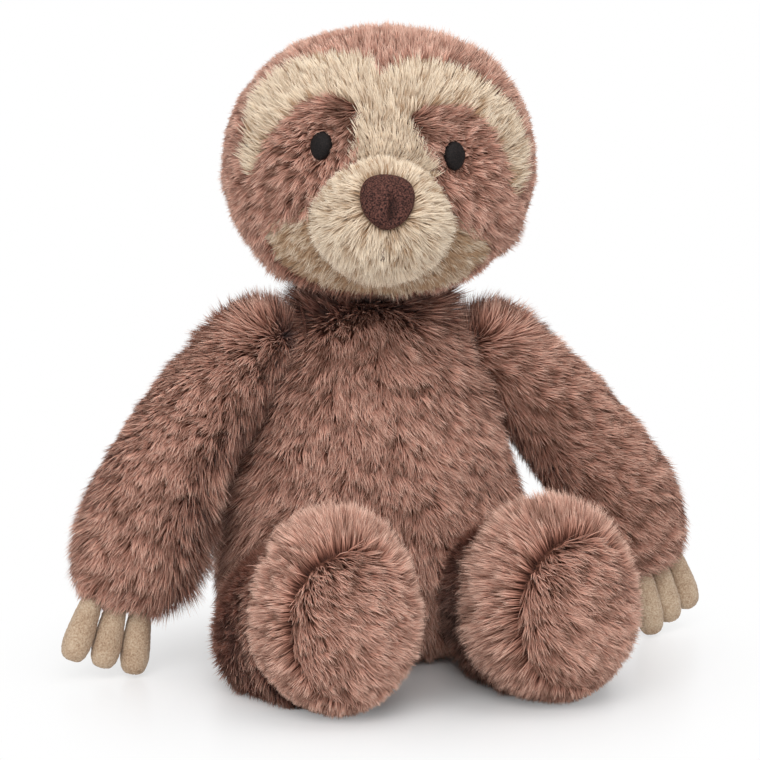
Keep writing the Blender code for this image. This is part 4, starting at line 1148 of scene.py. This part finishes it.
# %% [markdown]
# The eyes are embroidered: dark thread laid side by side over a small mound. Each is a flattened ball
# with ridges a thread apart, sunk into the head so that its rim lies under the pile. A noise at the
# size of a stitch moves the thread's colour between two shades, and its roughness gives it a dull shine.

# %% Embroidered eyes
EYE_HALF = np.array([0.0050, 0.0030, 0.0064])
EYE_SINK, EYE_NARROWING = 0.0012, 0.10
EYE_GRID = (64, 48)
STITCH, STITCH_HEIGHT, STITCH_SLANT = 0.0006, 0.00008, (0.8, 0.6)
FRONT_SHARE = 0.2


def thread_material(name, deep, light, scale, roughness):
    """Thread between two shades, with the painted shade of folds where its mesh carries it."""
    noise = {"Scale": scale, "Detail": 2.0, "Roughness": 0.6}
    return grained_material(name, noise, [(0.38, deep), (0.66, light)], (0.7, 0.0003), roughness, 0.2,
                            painted_folds=True)


def eye_points(side):
    """A flattened ball whose front carries ridges: a cosine across slanting lines a stitch apart."""
    angles = (side * EYE_ANGLES[0], EYE_ANGLES[1])
    facing = unit(HEAD_TURNED @ unit(head_ball(*angles) / HEAD_HALF))
    across = unit(np.cross(HEAD_TURNED @ [0, 0, 1.0], facing))
    up = np.cross(facing, across)
    x, out, z = ball_points(*EYE_GRID)
    narrow = 1 - EYE_NARROWING * held(-z)
    slanting = x * EYE_HALF[0] * STITCH_SLANT[0] + z * EYE_HALF[2] * STITCH_SLANT[1]
    ridge = STITCH_HEIGHT * np.cos(2 * math.pi * slanting / STITCH)
    depth = out * EYE_HALF[1] + np.where(out > FRONT_SHARE, ridge, 0.0) - EYE_SINK
    middle = head_point(*angles)
    return (middle + (x * narrow * EYE_HALF[0])[..., None] * across + depth[..., None] * facing
            + (z * EYE_HALF[2])[..., None] * up)


EYE_THREAD = thread_material("eye_thread", linear(7, 4, 4), linear(30, 22, 21), 1500.0, 0.65)
for limb, side in SIDES.items():
    closed_piece("eye_" + limb + "_embroidery", eye_points(side), "head", "eye_thread", EYE_THREAD,
                 "eye_" + limb)
print("eyes at", EYE_ANGLES, "degrees")

# %% [markdown]
# The nose is a puffy shield of the same kind of thread in short stitches, which show as a fine speckle.
# It has a fold down its lower middle, and painted shade in the fold darkens its thread. Its front stands
# out from the muzzle, its back lies inside it, and the height between them rounds off towards the outline.
# A short thread under it marks the mouth.

# %% The nose and the mouth
NOSE_SHARES = [(0.0, 1.0), (0.45, 0.97), (0.80, 0.87), (0.98, 0.68), (0.95, 0.44), (0.72, 0.21),
               (0.33, 0.05), (0.0, 0.0)]
NOSE_RISE, NOSE_BACK = 0.0040, 0.0030
FOLD_PLACE, FOLD_DEPTH, FOLD_WIDTH, FOLD_EDGE = 0.0006, 0.0036, 0.0050, 0.00045
RIDGE_PLACE, RIDGE_HEIGHT, RIDGE_WIDTH = 0.0008, 0.0007, 0.0009
MOUTH_TOP, MOUTH_LENGTH, MOUTH_RADIUS, MOUTH_OUT = 0.0205, 0.006, 0.00085, 0.001
MOUTH_PLY, MOUTH_TURNS = 0.28, 9
NOSE_GRID, MOUTH_GRID = (120, 61), (16, 41)


def muzzle_depth(x, z, grow=0.0):
    """How far forward the muzzle's ellipsoid reaches at a place seen from the front."""
    half = MUZZLE_HALF + grow
    return -half[1] * np.sqrt(np.clip(1 - (x / half[0]) ** 2 - (z / half[2]) ** 2, 0.02, 1))


def nose_points():
    """Rings from the middle of the front over the rim to the middle of the back.

    The outline gives a radius for each direction from the nose's middle. In front the rise falls to
    nothing at the rim as a root of one less a high power, and a one-sided fold lowers the right lobe.
    With the points comes a share of painted shade in the fold, which darkens the thread there.
    """
    half = [(NOSE_HALF_WIDTH * across, NOSE_HEIGHT * (up - 0.5)) for across, up in NOSE_SHARES]
    edge = closed_curve(half + [(-x, z) for x, z in reversed(half[1:-1])], 12)
    edge = edge[np.argsort(np.arctan2(edge[:, 1], edge[:, 0]))]
    turn = np.linspace(0, 2 * math.pi, NOSE_GRID[0], endpoint=False)
    reach = np.interp(turn, np.arctan2(edge[:, 1], edge[:, 0]), np.hypot(*edge.T), period=2 * math.pi)
    stage = np.linspace(0, 2, NOSE_GRID[1])[:, None]
    out = np.where(stage <= 1, np.sin(stage * math.pi / 2), np.sin((2 - stage) * math.pi / 2))
    x, z = out * reach * np.cos(turn), out * reach * np.sin(turn)
    puff = held(1 - out**5) ** 0.6
    low = held((0.30 - z / NOSE_HEIGHT) / 0.25) * held((z / NOSE_HEIGHT + 0.42) / 0.15)
    right = x - FOLD_PLACE
    fold = low * FOLD_DEPTH * np.exp(-np.clip(right, 0, None) / FOLD_WIDTH)
    fold = fold / (1 + np.exp(-right / FOLD_EDGE))
    ridge = low * RIDGE_HEIGHT * np.exp(-((right + RIDGE_PLACE) / RIDGE_WIDTH) ** 2)
    height = np.where(stage <= 1, puff * NOSE_RISE - (fold - ridge) * puff, -puff * NOSE_BACK)
    z = z + NOSE_LIFT
    y = muzzle_depth(x, z) - height
    # Painted shade in the fold, strongest where it is deepest, on the front only.
    painted_fold_shade = held(fold / FOLD_DEPTH * 1.6 - 0.5) * (stage <= 1)
    return place_points(HEAD_MATRIX, np.stack([x, y, z], axis=-1) + MUZZLE_MIDDLE), painted_fold_shade


def mouth_points():
    """A thread of two plies: its round section is pinched to two lobes that turn along the thread."""
    stage = np.linspace(0, 1, MOUTH_GRID[1])[:, None]
    turn = np.linspace(0, 2 * math.pi, MOUTH_GRID[0], endpoint=False)
    low = MOUTH_TOP - NOSE_LIFT + MOUTH_LENGTH * stage
    taper = held(1 - np.abs(2 * stage - 1) ** 8) ** 0.5
    radius = MOUTH_RADIUS * taper * (1 + MOUTH_PLY * np.cos(2 * (turn - stage * MOUTH_TURNS)))
    x = radius * np.cos(turn)
    y = muzzle_depth(0 * low, low, MOUTH_OUT) + radius * np.sin(turn)
    z = -low + 0 * turn
    return place_points(HEAD_MATRIX, np.stack([x, y, z], axis=-1) + MUZZLE_MIDDLE)


NOSE_THREAD = thread_material("nose_thread", linear(30, 13, 12), linear(104, 66, 57), 1250.0, 0.8)
nose_rings, nose_fold_shade = nose_points()
for name, points in (("nose", nose_rings), ("mouth_stitch", mouth_points())):
    closed_piece(name + "_embroidery", points, "head", "nose_thread", NOSE_THREAD, name)
# The nose's mesh carries the painted shade of its fold for its thread material.
painted_fold_shade = np.concatenate([nose_fold_shade[:1, 0], nose_fold_shade[1:-1].ravel(), [0.0]])
layer = bpy.data.objects["nose_embroidery"].data.attributes.new("painted_fold_shade", "FLOAT", "POINT")
layer.data.foreach_set("value", painted_fold_shade.astype(np.float32))
# Painted shade: the seam threads are as dark as the shaded pile around the neck and shoulders.
SEAM_THREAD = thread_material("seam_thread", linear(62, 38, 31), linear(92, 60, 49), 1800.0, 0.9)
for name in ("neck_seam_thread", "shoulder_seam_thread_left", "shoulder_seam_thread_right"):
    bpy.data.objects[name].material_slots[0].material = SEAM_THREAD
print("nose, mouth and seam threads are made")

# %% Write the sizes and finish
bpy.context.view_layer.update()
triangles = [len(thing.data.loops) - 2 * len(thing.data.polygons)
             for thing in bpy.data.objects if thing.type == "MESH"]
print("triangles", sum(triangles), "and in the largest piece", max(triangles))
